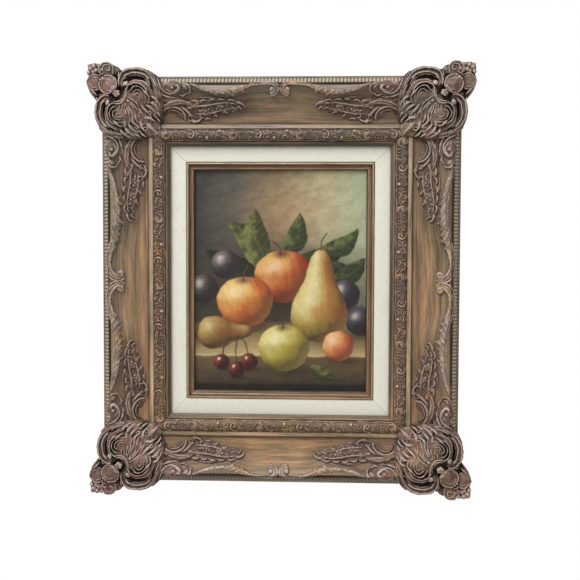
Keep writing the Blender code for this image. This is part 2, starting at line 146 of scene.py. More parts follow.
def lamp(name, place, size, power):
    bpy.ops.object.light_add(type="AREA", location=place)
    light = bpy.context.object
    light.name = name
    light.data.shape = "RECTANGLE"
    light.data.size, light.data.size_y = size
    light.data.energy = power
    light.rotation_mode = "QUATERNION"
    light.rotation_quaternion = (MIDDLE - Vector(place)).to_track_quat("-Z", "Y")


lamp("key_lamp", KEY_PLACE, KEY_SIZE, KEY_POWER)
lamp("fill_lamp", FILL_PLACE, FILL_SIZE, FILL_POWER)

bpy.ops.mesh.primitive_plane_add(size=4, location=(0, 0, -FLOOR_DEPTH))
floor = bpy.context.object
floor.name = "floor"
floor_paint = bpy.data.materials.new("floor_paint")
floor_paint.use_nodes = True
floor_paint.node_tree.nodes["Principled BSDF"].inputs["Base Color"].default_value = (0.8, 0.79, 0.77, 1)
floor.data.materials.append(floor_paint)
print("lamps and floor placed")

# %% [markdown]
# ## A few hand tools
# An operator acts on whatever is selected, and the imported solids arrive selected. So each step first picks
# the piece it works on. A modifier is added, set and applied in one go, as a modeller would do by hand.

# %% Pick, modify, join
def only(*chosen):
    bpy.ops.object.select_all(action="DESELECT")
    for made in chosen:
        made.select_set(True)
    bpy.context.view_layer.objects.active = chosen[0]


def modify(made, kind, **settings):
    only(made)
    bpy.ops.object.modifier_add(type=kind)
    modifier = made.modifiers[-1]
    for name, value in settings.items():
        setattr(modifier, name, value)
    bpy.ops.object.modifier_apply(modifier=modifier.name)


def join(name, parts):
    only(*parts)
    if len(parts) > 1:
        bpy.ops.object.join()
    made = bpy.context.object
    made.name = made.data.name = name
    return made


def edit(made, *steps):
    """Runs steps in edit mode with everything selected. A step is an operator and its settings."""
    only(made)
    bpy.ops.object.mode_set(mode="EDIT")
    for operator, settings in steps:
        bpy.ops.mesh.select_all(action="SELECT")
        operator(**settings)
    bpy.ops.object.mode_set(mode="OBJECT")


def points_of(made):
    flat = np.empty(len(made.data.vertices) * 3)
    made.data.vertices.foreach_get("co", flat)
    return flat.reshape(-1, 3)


def move_points(made, points):
    made.data.vertices.foreach_set("co", np.asarray(points, float).ravel())
    made.data.update()


def keep_values(made, name, values):
    """Stores one number for each vertex, which a material can read by its name."""
    stored = made.data.attributes.get(name) or made.data.attributes.new(name, "FLOAT", "POINT")
    stored.data.foreach_set("value", np.asarray(values, np.float32))


def triangles(made):
    return sum(len(face.vertices) - 2 for face in made.data.polygons)


only(camera)
print("tools ready")

# %% [markdown]
# ## The moulding's section
# The section is one closed outline: the fluted edge, a rise, the cove, a fillet, the round that carries the
# running ornament, a bead and the lip. On the real moulding the crest between rise and cove isn't straight.
# It follows the swept ribs, because the composition ornament is built out to meet them. So the section is
# swept along the rail in short steps with a Screw of no angle, and the crest is then moved over station by
# station. Cutting both ends to 45 degrees with Bisect makes the mitres.

# %% Draw the section
FLUTED_END, RISE_AT, CREST_AT, COVE_END = 8.7, 10.2, 21.0, 52.5
CREST, COVE_FLOOR, RISE_FOOT = 42.6, 30.5, 33.4
STRIP_END = 57.7
ROUND_CENTRE, ROUND_RADII = (64.15, 33.1), (6.25, 4.4)


def arc(centre, radii, start, end, steps):
    turns = np.radians(np.linspace(start, end, steps + 1))
    return [(centre[0] + radii[0] * math.cos(t), centre[1] + radii[1] * math.sin(t)) for t in turns]


def rise_height(share):
    return RISE_FOOT + (CREST - RISE_FOOT) * np.sin(np.clip(share, 0, 1) * math.pi / 2) ** 0.8


def cove_height(share):
    return COVE_FLOOR + (CREST - COVE_FLOOR) * (1 - np.clip(share, 0, 1)) ** 1.9


def moulding_face():
    """The moulding's front, from its outer edge to its sight edge, as distance in and height."""
    fluted = [(0, 24.4), (1, 26.6), (2.2, 27.8), (4.2, 30.2), (6.2, 32.4), (7.9, 34), (FLUTED_END, 34.4)]
    quirk = [(8.9, RISE_FOOT), (RISE_AT, RISE_FOOT)]
    rise = [(RISE_AT + t * (CREST_AT - RISE_AT), float(rise_height(t))) for t in np.linspace(0.08, 1, 11)]
    cove = [(CREST_AT + t * (COVE_END - CREST_AT), float(cove_height(t))) for t in np.linspace(0.03, 1, 26)]
    strip = [(COVE_END + 0.25, 32.9), (COVE_END + 0.7, 33.5)]
    strip += [(STRIP_END - 0.8, 34.1), (STRIP_END - 0.3, 33.8)]
    round_top = arc(ROUND_CENTRE, ROUND_RADII, 180, 0, 16)
    bead = arc((72.2, 31.7), (1.3, 1.3), 160, 0, 6)
    return fluted + quirk + rise + cove + strip + round_top + bead + [(74.2, 31.2), (MOULDING_WIDTH, 29.9)]


REBATE, LIP_BACK = MOULDING_WIDTH - 9.5, 27.3
face = moulding_face()
section = face + [(MOULDING_WIDTH, LIP_BACK), (REBATE, LIP_BACK), (REBATE, BACK), (0.0, BACK)]
face_in, face_high = np.array(face).T
print("section drawn with", len(section), "points")

# %% [markdown]
# ## Where the ribs run
# A rib leaves the corner at the fluted edge, bows inwards over the cove and comes back to the edge, where
# it ends in a small volute near the middle of the rail. The same curve gives the crest of the moulding.

# %% Plan the sweep of the ribs
RIB_START, VOLUTE_REACH = 98.0, 30.0
LEAST_CREST, UNDER_RIB = 11.4, 0.6
SWEEP = ((0, 8.6), (0.14, 13), (0.28, 16.6), (0.45, 18.8), (0.6, 19), (0.75, 17), (0.88, 13.8), (1, 11.2))


def smooth(points, steps):
    """A smooth curve through rows of numbers, the same one that a drawing program's spline gives."""
    rows = np.array([points[0], *points, points[-1]], float)
    made = []
    for a, b, c, d in zip(rows, rows[1:], rows[2:], rows[3:]):
        for t in np.arange(steps) / steps:
            bend = (2 * a - 5 * b + 4 * c - d) * t * t + (3 * b - a - 3 * c + d) * t**3
            made.append(0.5 * (2 * b + (c - a) * t + bend))
    return np.array([*made, rows[-1]])


def sweep_of(half):
    """The line of a rib from its start to its volute, as distance along and distance in."""
    span = half - RIB_START - VOLUTE_REACH
    return smooth([(RIB_START + share * span, across) for share, across in SWEEP], 8)


def crest_at(along, side):
    """How far in the crest lies at a distance along a rail."""
    half = half_length(side)
    sweep = sweep_of(half)
    from_end = half - np.abs(half - along)
    across = np.interp(from_end, sweep[:, 0], sweep[:, 1], left=LEAST_CREST, right=LEAST_CREST)
    return np.clip(across - UNDER_RIB, LEAST_CREST, None)


def face_height(along, across, side):
    """The height of the moulding's front, with the crest where the ribs put it."""
    crest = crest_at(along, side)
    plain = np.interp(across, face_in, face_high)
    rise = rise_height((across - RISE_AT) / (crest - RISE_AT))
    cove = cove_height((across - crest) / (COVE_END - crest))
    shaped = np.where(across < crest, rise, cove)
    return np.where((across > RISE_AT) & (across < COVE_END), shaped, plain)


for side in ("top", "left"):
    print(side, "rib runs to", round(float(sweep_of(half_length(side))[-1, 0]), 1), "mm along")

# %% [markdown]
# ## From the flat drawing to the frame
# A flat drawing has its own directions: along the rail, in from the outer edge, and up from the wall. Each
# side starts at one corner and runs to the next. Where this turns a drawing over, its faces are flipped.

# %% Lay a drawing on a side or a corner
def side_places(side, hand=1):
    """Start corner, direction along and direction in, for a side drawn from one end or from the other."""
    turn = Matrix.Rotation(math.radians(90 * SIDES.index(side)), 3, "Y")
    centre = Vector((0, 0, CENTRE_Z))
    reach = HEIGHT + WIDTH - 2 * half_length(side)
    start = centre + turn @ Vector((-hand * half_length(side), 0, reach / 2))
    return start, turn @ Vector((hand, 0, 0)), turn @ Vector((0, 0, -1))


def corner_places(corner):
    sx, sz = CORNERS[corner]
    return Vector((sx * WIDTH / 2, 0, CENTRE_Z + sz * HEIGHT / 2)), Vector((-sx, 0, 0)), Vector((0, 0, -sz))


def lay(made, places, heights):
    """Takes a flat piece to its place. Heights are those of its own vertices, from the wall."""
    start, along, inward = (np.array(v) for v in places)
    flat = points_of(made)
    front = np.array([0, -1.0, 0])
    laid = start + flat[:, :1] * along + flat[:, 1:2] * inward + np.asarray(heights)[:, None] * front
    move_points(made, laid * MM)
    if np.linalg.det(np.array([along, inward, front])) < 0:
        made.data.flip_normals()
    return made


print("sides start at", [tuple(round(v) for v in side_places(side)[0]) for side in SIDES])

# %% Mill and mitre a length
def mitre_cuts(length):
    """The two cuts of 45 degrees that end a length, each as an operator and its settings."""
    start = dict(plane_co=(0, 0, 0), plane_no=(1, -1, 0), use_fill=True, clear_inner=True)
    end = dict(plane_co=(length, 0, 0), plane_no=(1, 1, 0), use_fill=True, clear_outer=True)
    return (bpy.ops.mesh.bisect, start), (bpy.ops.mesh.bisect, end)


def milled(name, outline, side, steps=1):
    """An outline swept along its side and mitred at both ends, still flat on the bench."""
    length = 2 * half_length(side)
    bpy.ops.mesh.primitive_circle_add(vertices=len(outline), radius=1)
    made = bpy.context.object
    made.name = made.data.name = name
    move_points(made, [(0, across, height) for across, height in outline])
    modify(made, "SCREW", axis="X", angle=0, screw_offset=length, steps=steps, render_steps=steps,
           use_smooth_shade=False)
    edit(made, *mitre_cuts(length), (bpy.ops.mesh.normals_make_consistent, {}))
    return made


print("the section is", round(float(face_high.max() - BACK), 1), "mm deep")

# %% [markdown]
# ## A carver's strokes
# Composition ornament is pressed from a carved mould, so it is a relief of strokes: leaves, scrolls and
# beads that grow out of each other. Each stroke here is a curve with its own width and height at every
# point and with one of three gouge sections. Strokes, domes and rings are then fused by a voxel remesh, as
# soft composition would be in the mould, smoothed a little, and thinned to the faces that they need.

# %% Gouge sections
THINNEST = 0.12


def outline_curve(name, outline):
    bpy.ops.curve.primitive_bezier_curve_add()
    made = bpy.context.object
    made.name = name
    made.data.dimensions = "2D"
    made.data.splines.clear()
    line = made.data.splines.new("POLY")
    line.points.add(len(outline) - 1)
    line.use_cyclic_u = True
    for point, (x, y) in zip(line.points, outline):
        point.co = (x, y, 0, 1)
    return made


def both_ways(right):
    """A section from its right half, given from the bottom to the middle of the top."""
    return right + [(-x, y) for x, y in reversed(right) if x > 0]


SECTIONS = {
    "bead": arc((0, 0), (1, 1), 0, 330, 11),
    "leaf": both_ways([(0.5, -0.9), (1.0, -0.35), (0.97, 0.1), (0.6, 0.46), (0.22, 0.46), (0, 0.12)]),
    "scroll": both_ways([(0.8, -1.0), (1.0, 0.3), (0.86, 0.62), (0.66, 0.5), (0.4, 0.16), (0, 0.02)]),
}
gouges = {name: outline_curve("gouge_" + name, outline) for name, outline in SECTIONS.items()}
print("gouges:", ", ".join(gouges))

# %% Draw strokes
def strokes(gouge, lines, steps=4):
    """Tapered strokes of one section along smooth lines of distance along, in, height and size."""
    bpy.ops.curve.primitive_bezier_curve_add()
    drawn = bpy.context.object
    curve = drawn.data
    curve.splines.clear()
    curve.twist_mode = "Z_UP"
    for line in lines:
        rows = smooth(line, steps)
        spline = curve.splines.new("POLY")
        spline.points.add(len(rows) - 1)
        for point, (s, u, w, size) in zip(spline.points, rows):
            point.co = (s, u, w, 1)
            point.radius = max(size, THINNEST)
    curve.bevel_mode = "OBJECT"
    curve.bevel_object = gouges[gouge]
    curve.use_fill_caps = True
    only(drawn)
    bpy.ops.object.convert(target="MESH")
    return bpy.context.object


def dome(s, u, w, radius, rise):
    bpy.ops.mesh.primitive_uv_sphere_add(segments=20, ring_count=12, radius=1, location=(s, u, w),
                                         scale=(radius, radius, rise))
    return bpy.context.object


def ring(s, u, w, radius, thick):
    bpy.ops.mesh.primitive_torus_add(location=(s, u, w), major_segments=32, minor_segments=8,
                                     major_radius=radius, minor_radius=thick)
    return bpy.context.object


def drum(s, u, low, high, radius):
    bpy.ops.mesh.primitive_cylinder_add(vertices=32, radius=radius, depth=high - low,
                                        location=(s, u, (low + high) / 2))
    return bpy.context.object


def plate(outline, low, high, steps=4):
    """A flat plate of a smooth outline, the ground that strokes stand on."""
    rows = smooth(list(outline) + [outline[0]], steps)[:-1]
    bpy.ops.mesh.primitive_circle_add(vertices=len(rows), fill_type="NGON")
    made = bpy.context.object
    move_points(made, np.column_stack([rows, np.full(len(rows), high)]))
    down = {"value": (0, 0, low - high)}
    edit(made, (bpy.ops.mesh.extrude_region_move, {"TRANSFORM_OT_translate": down}),
         (bpy.ops.mesh.normals_make_consistent, {}))
    return made


print("thinnest stroke:", THINNEST, "of its full size")

# %% Fuse strokes into a relief
WORN_BY, WANDER_BY = 0.5, 1.5
worn = bpy.data.textures.new("worn", "CLOUDS")
worn.noise_scale, worn.noise_depth = 1.9, 2
wander = bpy.data.textures.new("wander", "CLOUDS")
wander.noise_scale, wander.noise_depth = 5.0, 1


def fuse(name, parts, voxel, keep, feet=(1.2, 2.4)):
    """Melts overlapping closed parts into one relief, then smooths it, wears it unevenly and thins it.

    Copies sunk by the feet first fill the room under each stroke, so that none hangs in the air."""
    made = join(name, parts)
    sunk = [copy_of(made, name) for _ in feet]
    for foot, drop in zip(sunk, feet):
        foot.location.z -= drop
    made = join(name, [made, *sunk])
    bpy.ops.object.transform_apply(location=True, rotation=True, scale=True)
    modify(made, "REMESH", mode="VOXEL", voxel_size=voxel)
    modify(made, "SMOOTH", factor=0.5, iterations=1)
    for way, texture, strength in (("X", wander, WANDER_BY), ("Y", wander, WANDER_BY), ("Z", worn, WORN_BY)):
        modify(made, "DISPLACE", texture=texture, texture_coords="LOCAL", direction=way, strength=strength,
               mid_level=0.5)
    modify(made, "DECIMATE", ratio=keep)
    return made


def copy_of(master, name):
    only(master)
    bpy.ops.object.duplicate()
    made = bpy.context.object
    made.name = made.data.name = name
    return made


print("a relief wanders by", WANDER_BY, "mm and is worn by", WORN_BY, "mm")

# %% [markdown]
# ## Dirt in the hollows, wear on the ridges
# An old finish is dark where dust and glaze have settled and pale where hands and cloths have rubbed. Both
# follow the relief, so they are measured from it: the heights are gathered on a fine grid, blurred, and each
# point is compared with the blurred surface. What lies lower is a hollow, and what stands proud is a ridge.

# %% Measure hollows and ridges
CELL, MARGIN = 0.5, 6  # of the grid, in mm
FINE, BROAD = 0.9, 2.6  # reach of the blurs that each point is compared with, in mm
NEAR, BURIED = 0.8, 1.2  # reach and depth that tell a point buried under the rest, in mm
UNKNOWN = -1e3


def blur(grid, sigma):
    reach = int(3 * sigma / CELL) + 1
    weights = np.exp(-0.5 * (np.arange(-reach, reach + 1) * CELL / sigma) ** 2)
    weights /= weights.sum()
    for axis in (0, 1):
        grid = np.apply_along_axis(lambda row: np.convolve(row, weights, mode="same"), axis, grid)
    return grid


def keep_relief(made, ground):
    """Stores hollow and ridge for each point. Ground is the height beside the piece, or None."""
    points = points_of(made)
    low = points[:, :2].min(0) - MARGIN
    cells = ((points[:, :2] - low) / CELL).astype(int)
    shape = cells.max(0) + int(MARGIN / CELL) + 1
    height = np.full(shape, UNKNOWN)
    normals = np.empty(points.size)
    made.data.vertices.foreach_get("normal", normals)
    upper = normals.reshape(-1, 3)[:, 2] > 0.1
    np.maximum.at(height, (cells[upper, 0], cells[upper, 1]), points[upper, 2])
    known = (height > UNKNOWN).astype(float)
    height = np.where(known > 0, height, 0)
    for _ in range(3):  # drops what lies buried under the rest, then fills the gaps between points
        near = blur(known, NEAR)
        filled = blur(height * known, NEAR) / np.maximum(near, 0.01)
        known = known * (height > filled - BURIED)
    height = np.where(known > 0, height, filled)
    known = (near > 0.04).astype(float)
    if ground is not None:
        height, known = np.where(known > 0, height, ground), np.ones(shape)
    height = np.where(known > 0, height, 0)
    above = []
    for sigma in (FINE, BROAD):
        level = blur(height * known, sigma) / np.maximum(blur(known, sigma), 0.02)
        above.append(points[:, 2] - level[cells[:, 0], cells[:, 1]])
    fine, broad = above
    keep_values(made, "hollow", np.clip(-0.42 * fine - 0.13 * broad - 0.04, 0, 1))
    keep_values(made, "ridge", np.clip(1.3 * fine + 0.08 * broad - 0.06, 0, 1))


def cast(name, parts, voxel, keep, ground=0.0, **settings):
    """Fuses parts into one relief and measures its hollows and ridges."""
    made = fuse(name, parts, voxel, keep, **settings)
    keep_relief(made, ground)
    print(name + ":", triangles(made), "triangles")
    return made


print("relief is compared over", FINE, "and", BROAD, "mm")

# %% [markdown]
# ## The corner cartouche
# One casting serves all four corners. Its two wings are alike, so one is drawn and mirrored, and the second
# one hugs its rail more closely. A wing is a broad C-scroll round a narrow deep hollow, with a shell of
# nested arches beside it and small leaves that run out over the cove. Rimmed discs, a berry in a dark hole
# and an acanthus lie on the diagonal. Broad bands and low swellings give the masses, and fine strokes on
# them give the detail. Rows of a stroke are distance from one side, from the other, height and size.

# %% One wing of the cartouche
WING_BANDS = [
    [(27.6, 12.5, 4.6, 1.3), (24.6, 7, 5.6, 2.1), (25.2, 1.2, 6.4, 2.7), (29.6, -2.8, 7.0, 3.2),
     (36.4, -4.4, 7.3, 3.4), (44, -4.4, 7.1, 3.4), (51.4, -2.2, 6.4, 3.2), (57.2, 2.4, 5.4, 2.9),
     (61.6, 9, 4.2, 2.4), (65, 16, 3.0, 1.8), (67.4, 23, 1.8, .9)],
    [(28.6, 4.4, 4.6, .7), (32.4, .6, 5.6, 1.4), (38, -.9, 6.0, 1.7), (44.6, -.6, 6.0, 1.7),
     (50, 2.2, 5.4, 1.6), (53.6, 7.2, 4.6, 1.4), (56.6, 13, 3.8, 1.0)],
    [(30.6, 13.4, 5.4, 1.0), (34.4, 9.4, 6.0, 1.8), (40.6, 7.8, 6.4, 2.2), (47.6, 8.6, 6.4, 2.2),
     (53.2, 12.4, 5.8, 2), (57.4, 18.4, 4.8, 1.6), (59.4, 25.4, 3.8, .9)],
]
WING_LINES = [
    [(23.2, 12, 7.2, .45), (22.4, 5.6, 8.2, .6), (24.6, -.8, 9.0, .65), (30, -4.9, 9.6, .65),
     (38, -6.1, 9.8, .65), (46, -5.6, 9.4, .65), (52.6, -2.6, 8.4, .6), (57.6, 2.8, 7.2, .55),
     (61.6, 9.6, 5.8, .5), (64.6, 16.6, 4.6, .4)],
    [(27.6, 5.4, 7.4, .4), (30, .6, 8.2, .5), (36, -1.9, 8.4, .55), (44, -1.9, 8.2, .55),
     (50.4, .8, 7.6, .5), (54.4, 6, 6.6, .45), (57.2, 12, 5.8, .35)],
    [(57, -3.6, 6.8, .4), (62.4, 1.8, 6.0, .55), (66.2, 9, 5.0, .55), (68.8, 16.6, 4, .45)],
    [(59.6, 12, 5.6, .4), (62.8, 17.4, 5.0, .5), (64.4, 23.6, 4.0, .4), (64, 29, 3.2, .3)],
    [(31.6, 16.6, 7.6, .5), (34, 12.2, 8.4, .6), (39, 9.8, 8.9, .65), (45, 10.2, 8.9, .65),
     (50.4, 13.8, 8.2, .6), (54.2, 19.6, 7.4, .6), (55.6, 26.4, 6.4, .5), (54.4, 32, 5.6, .35)],
    [(34.6, 20, 7.8, .4), (37, 15.4, 8.8, .5), (42, 13.2, 9.4, .55), (47.4, 14.8, 9.2, .55),
     (51, 19.2, 8.6, .5), (52.2, 25.4, 7.8, .45), (50.8, 31, 7.0, .35)],
    [(38.4, 20.4, 8.8, .35), (41.6, 17.2, 9.6, .45), (46, 17.8, 9.8, .45), (48.8, 21.6, 9.4, .4),
     (49, 27, 8.6, .35)],
    [(42, 22.8, 9.8, .3), (44.8, 21, 10.2, .4), (46.8, 23.4, 10, .4), (46.4, 27.4, 9.4, .3)],
    [(22.6, -3.6, 7.0, .4), (21.4, 1.4, 7.2, .55), (22.2, 7, 7.4, .6)],
]
WING_LEAVES = [
    [(49.6, 17.4, 9.0, .4), (53, 20.4, 9.6, 1.0), (56.8, 25.8, 7.8, .3)],
    [(57.6, 24, 4.4, .5), (61.4, 25.6, 5.2, 1.2), (65, 29.6, 4.4, .9), (67.4, 34.6, 3, .25)],
    [(55.4, 30, 4.8, .5), (59.4, 31, 5.8, 1.2), (63.4, 34.8, 4.6, .9), (66.6, 40, 3, .25)],
    [(51.6, 33, 5.8, .5), (55.6, 34.6, 6.4, 1.2), (59.8, 38.4, 5.0, .9), (63.6, 43.8, 3.2, .25)],
    [(46.6, 35, 6.4, .5), (50.6, 37.4, 7.0, 1.1), (54.6, 41.4, 5.6, .8), (58.4, 46.4, 4, .25)],
    [(45.6, 47.5, 4.6, .5), (51, 46, 5.8, 1.3), (57, 47.2, 5.2, 1.2), (62.4, 51.6, 3.6, .3)],
    [(49, 52.4, 4.6, .6), (55, 53.4, 5.6, 1.3), (61.6, 58, 3.8, .3)],
    [(61.8, 38.6, 3.2, .4), (65, 41.6, 3.8, 1.0), (67.6, 46.6, 2.8, .25)],
    [(60.6, 45, 3.4, .4), (64, 47, 4.0, 1.1), (66.8, 52, 2.8, .25)],
]
RIM_LEAVES = [
    [(-12, 12, 4, .6), (-9.4, 17.6, 4.8, 1.2), (-5.8, 23, 4.4, 1.0), (-3, 27.6, 3, .3)],
    [(-8.4, 15.8, 6, .4), (-5, 19.2, 6.4, .8), (-2, 23, 5.4, .35)],
    [(-13.4, 5, 4.6, .6), (-12.8, 11, 4.8, .8), (-10.2, 16.6, 4.2, .4)],
]
BERRY = (20.6, 20.6)
WING_TUCK, TUCK_FROM = 3.4, 13


def rays(centre, inner, outer, angles, size, height):
    """Short leaves that fan out from a centre, each bent and reaching a little differently."""
    made = []
    for step, angle in enumerate(np.radians(angles)):
        uneven = math.sin(step * 2.4)
        reach_out = outer + 1.6 * uneven
        ends = []
        halfway = (.5 * (inner + reach_out), .06 + .05 * uneven, 1, .1)
        for reach, bend, width, drop in ((inner, 0, .5, 0), halfway, (reach_out, .16, .3, 1)):
            place = (centre[0] + reach * math.cos(angle + bend), centre[1] + reach * math.sin(angle + bend))
            ends.append((*place, height * (1 - .14 * drop), size * width))
        made.append(ends)
    return made


def tuck(out):
    """The second wing reaches less far past its rail."""
    return out + WING_TUCK * min(max((TUCK_FROM - out) / TUCK_FROM, 0), 1)


def mirrored(lines):
    return [[(tuck(b), a, w, size) for a, b, w, size in line] for line in lines]


fan = rays(BERRY, 12.6, 20.5, np.arange(18, 76, 9.0), 0.6, 8.6)
fan += rays(BERRY, 18.5, 29, np.arange(22, 72, 8.0), 0.8, 8.7)
fan += rays(BERRY, 27, 37, np.arange(24, 70, 7.4), 0.85, 7.4)
print("strokes on one wing:", len(WING_BANDS + WING_LINES + WING_LEAVES + RIM_LEAVES))


# %% Cast the ground, the discs and the berries
TIP = ((-4.4, -13.4), (-1, -12.6), (3.4, -14.4), (9.6, -13.8), (16, -10.6), (21.4, -6.8))
OUTLINE_WING = ((26, -6.2), (33, -7.6), (42, -8.2), (50, -6.8), (57, -3.6), (63, 1), (68.4, 8.4), (70.6, 17),
                (69.2, 24), (69.6, 32), (68.4, 38), (69.6, 45), (67.4, 50), (65.6, 54), (66.6, 58))
GROUND, BED = -1.0, -16.0


def disc(s, u, w, radius, rim):
    """A disc with a thin proud rim and a low swelling in it."""
    return [drum(s, u, GROUND - 2, w - 1.4, radius), ring(s, u, w - 0.9, radius - rim, 1.25 * rim),
            dome(s, u, w - 1.9, radius - 2.2 * rim, 1.2)]


def arc_stroke(centre, radius, start, end, height, size):
    turns = np.radians(np.linspace(start, end, 9))
    swell = np.sin(np.linspace(0.2, math.pi - 0.2, 9)) ** 0.4
    return [(centre[0] + radius * math.cos(t), centre[1] + radius * math.sin(t), height, size * k)
            for t, k in zip(turns, swell)]


outline = [*TIP, *OUTLINE_WING, (63.4, 63.4)] + [(tuck(b), a) for a, b in reversed(OUTLINE_WING)]
outline += [(b, a) for a, b in reversed(TIP)] + [(-13, -9.4), (-9.6, -13.2)]
parts = [plate(outline, BED, GROUND)]
parts += disc(-5, 7.6, 6.0, 8.9, 0.5) + disc(10.6, 10.8, 8.6, 10.6, 0.55)
parts += [drum(7.4, -5.4, GROUND - 2, 4.6, 9.0), dome(7.4, -5.4, 3.8, 8.2, 1.6)]
parts += [dome(16, -4.6, GROUND, 6, 4.2)]
tip_lines = [
    arc_stroke((7.4, -5.4), 8.2, 150, 395, 5.4, .7), arc_stroke((8.6, -6), 5.2, 120, 320, 6, .6),
    arc_stroke((3.4, -3.6), 2.4, 60, 330, 6.4, .6), arc_stroke((10, -6.8), 2.2, 160, -100, 6.6, .6),
    arc_stroke((10.6, 10.8), 7.6, 182, 262, 8.2, .55), arc_stroke((10.6, 10.8), 5.6, 205, 300, 8.4, .45),
    arc_stroke((10.6, 10.8), 7.0, 20, 100, 8.0, .5), arc_stroke((-5, 7.6), 6.2, 60, 170, 5.6, .45),
    arc_stroke((-5, 7.6), 5.4, 250, 330, 5.6, .45), arc_stroke((4.4, 2.8), 3.2, 170, 300, 8.6, .55),
]
parts.append(strokes("bead", tip_lines))
# Along, in and radius. Those past the corner lie lower and stand taller.
BERRIES = (
    (-9.8, -7.6, 3.2), (-6.2, -10.2, 3.0), (-3.6, -5, 3.2), (-11.2, -10.8, 2.0), (-.8, -10.6, 2.4),
    (-11.6, -3, 2.6), (-6.6, -3.4, 2.4), (4.6, 3.6, 1.7), (2.4, 5.4, 1.5), (16.4, 15.6, 2.6),
    (14.6, 18.2, 2.0), (18.2, 14, 2.0),
)
for s, u, size in BERRIES:
    parts.append(dome(s, u, 2.4 if s < 0 else 7.2, size, 3.0 if s < 0 else 2.0))
print("ground, discs and berries:", len(parts), "parts")

# %% Fuse the cartouche
parts.append(dome(*BERRY, 4.4, 4.0, 4.6))
for turn in (0, 72, 144, 216, 288):
    around = math.radians(turn + 25)
    parts.append(dome(BERRY[0] + 2.3 * math.cos(around), BERRY[1] + 2.3 * math.sin(around), 6.6, 1.8, 2.3))
for s, u in ((44, 25), (25.6, 44)):
    parts += [dome(s, u, 0, 15.5, 8.0), dome(s - 0.4, u, 4, 9.5, 5.0)]
for s, u in ((30.4, 9.8), (10.6, 30.6)):
    parts += [dome(s, u, 6.2, 3.2, 3.2), drum(s, u, GROUND - 1, 5, 3.2)]
# Along, in, the height of the middle, radius and rise.
SWELLINGS = ((36, 36, 0, 19, 7.6), (47, 47, -1, 13, 6.6), (56, 56, -1, 11, 5.4), (58, 36, -1, 12, 5.4),
             (36, 58, -1, 12, 5.4), (60, 22, -1, 9, 4.6), (22, 60, -1, 9, 4.6))
parts += [dome(*swelling) for swelling in SWELLINGS]
plateau = [arc_stroke(BERRY, 12.0, -24, 114, 4.2, 3.0)]
rims = [arc_stroke(BERRY, 9.1, -20, 110, 7.4, .6), arc_stroke(BERRY, 11.1, -24, 114, 8.0, .7)]
parts.append(strokes("bead", plateau + rims))
parts.append(strokes("scroll", WING_BANDS + mirrored(WING_BANDS)))
parts.append(strokes("bead", WING_LINES + mirrored(WING_LINES)))
leaves = WING_LEAVES + mirrored(WING_LEAVES) + RIM_LEAVES + fan
leaves.append([(50, 50, 4.6, .8), (56, 56, 6.0, 1.7), (63.4, 63.4, 3.8, .4)])
parts.append(strokes("leaf", leaves))
KNOTS = (
    (42.6, 40, 2.4, 20), (49, 43.4, 2.2, 200), (55.6, 41.4, 1.8, 120), (47.4, 51, 2.4, 300),
    (58, 50.6, 2.0, 60), (61.4, 31, 1.7, 200), (33.4, 25.4, 2.0, 90), (62, 44, 1.5, 0),
)
knots = []
for s, u, radius, start in KNOTS:
    knots += [arc_stroke((s, u), radius, start, start + 280, 7.4 - max(s, u) / 24, .55),
              arc_stroke((u, s), radius, start + 60, start - 220, 7.4 - max(s, u) / 24, .55)]
parts.append(strokes("bead", knots))
cartouche = cast("cartouche", parts, voxel=0.46, keep=0.2, ground=None)

# %% [markdown]
# ## Materials as node groups
# Several finishes share one effect, such as dirt that settles in hollows or grain that runs along a rail.
# Each effect is a node group with named inputs and outputs, and a material places it with its own colours.
# Small helpers keep the node code short: they add a node, feed its sockets or give a group its own.

# %% Nodes for numbers and colours
def feed(tree, socket, value):
    """Gives a socket a link, or a value of its own."""
    if isinstance(value, bpy.types.NodeSocket):
        tree.links.new(value, socket)
    else:
        socket.default_value = value


def put(tree, kind, inputs=None, **fields):
    """Adds a shader node, sets its fields and feeds its sockets."""
    node = tree.nodes.new("ShaderNode" + kind)
    for name, value in fields.items():
        setattr(node, name, value)
    for socket, value in (inputs or {}).items():
        feed(tree, node.inputs[socket], value)
    return node


def maths(tree, operation, a, b=0.5, c=0.5, clamp=False):
    return put(tree, "Math", {0: a, 1: b, 2: c}, operation=operation, use_clamp=clamp).outputs[0]


def blend(tree, share, a, b, kind="MIX"):
    return put(tree, "Mix", {0: share, 6: a, 7: b}, data_type="RGBA", blend_type=kind).outputs[2]


def times(tree, a, b):
    return maths(tree, "MULTIPLY", a, b)


def veil(tree, under, share, strength, over):
    """A colour laid over another, at its strength where the share is full."""
    return blend(tree, times(tree, share, strength), under, (*over, 1))


def tinted(tree, under, tint):
    return blend(tree, 1.0, under, tint, "MULTIPLY")


def band(tree, value, low, high):
    """0 below low, 1 above high, and smooth between them. Low may be the greater."""
    ends = {"Value": value, "From Min": low, "From Max": high}
    return put(tree, "MapRange", ends, interpolation_type="SMOOTHSTEP").outputs[0]


def noise(tree, place, scale, detail=3, rough=0.55):
    inputs = {"Vector": place, "Scale": scale, "Detail": detail, "Roughness": rough}
    return put(tree, "TexNoise", inputs).outputs[0]


def rgba(colour):
    return (colour,) * 3 + (1,) if isinstance(colour, (int, float)) else (*colour, 1)


def ramp(tree, share, stops):
    node = put(tree, "ValToRGB", {"Fac": share})
    marks = node.color_ramp.elements
    marks.remove(marks[1])
    marks[0].position, marks[0].color = stops[0][0], rgba(stops[0][1])
    for place, colour in stops[1:]:
        marks.new(place).color = rgba(colour)
    return node.outputs["Color"]


print("a mid grey is", rgba(0.5))


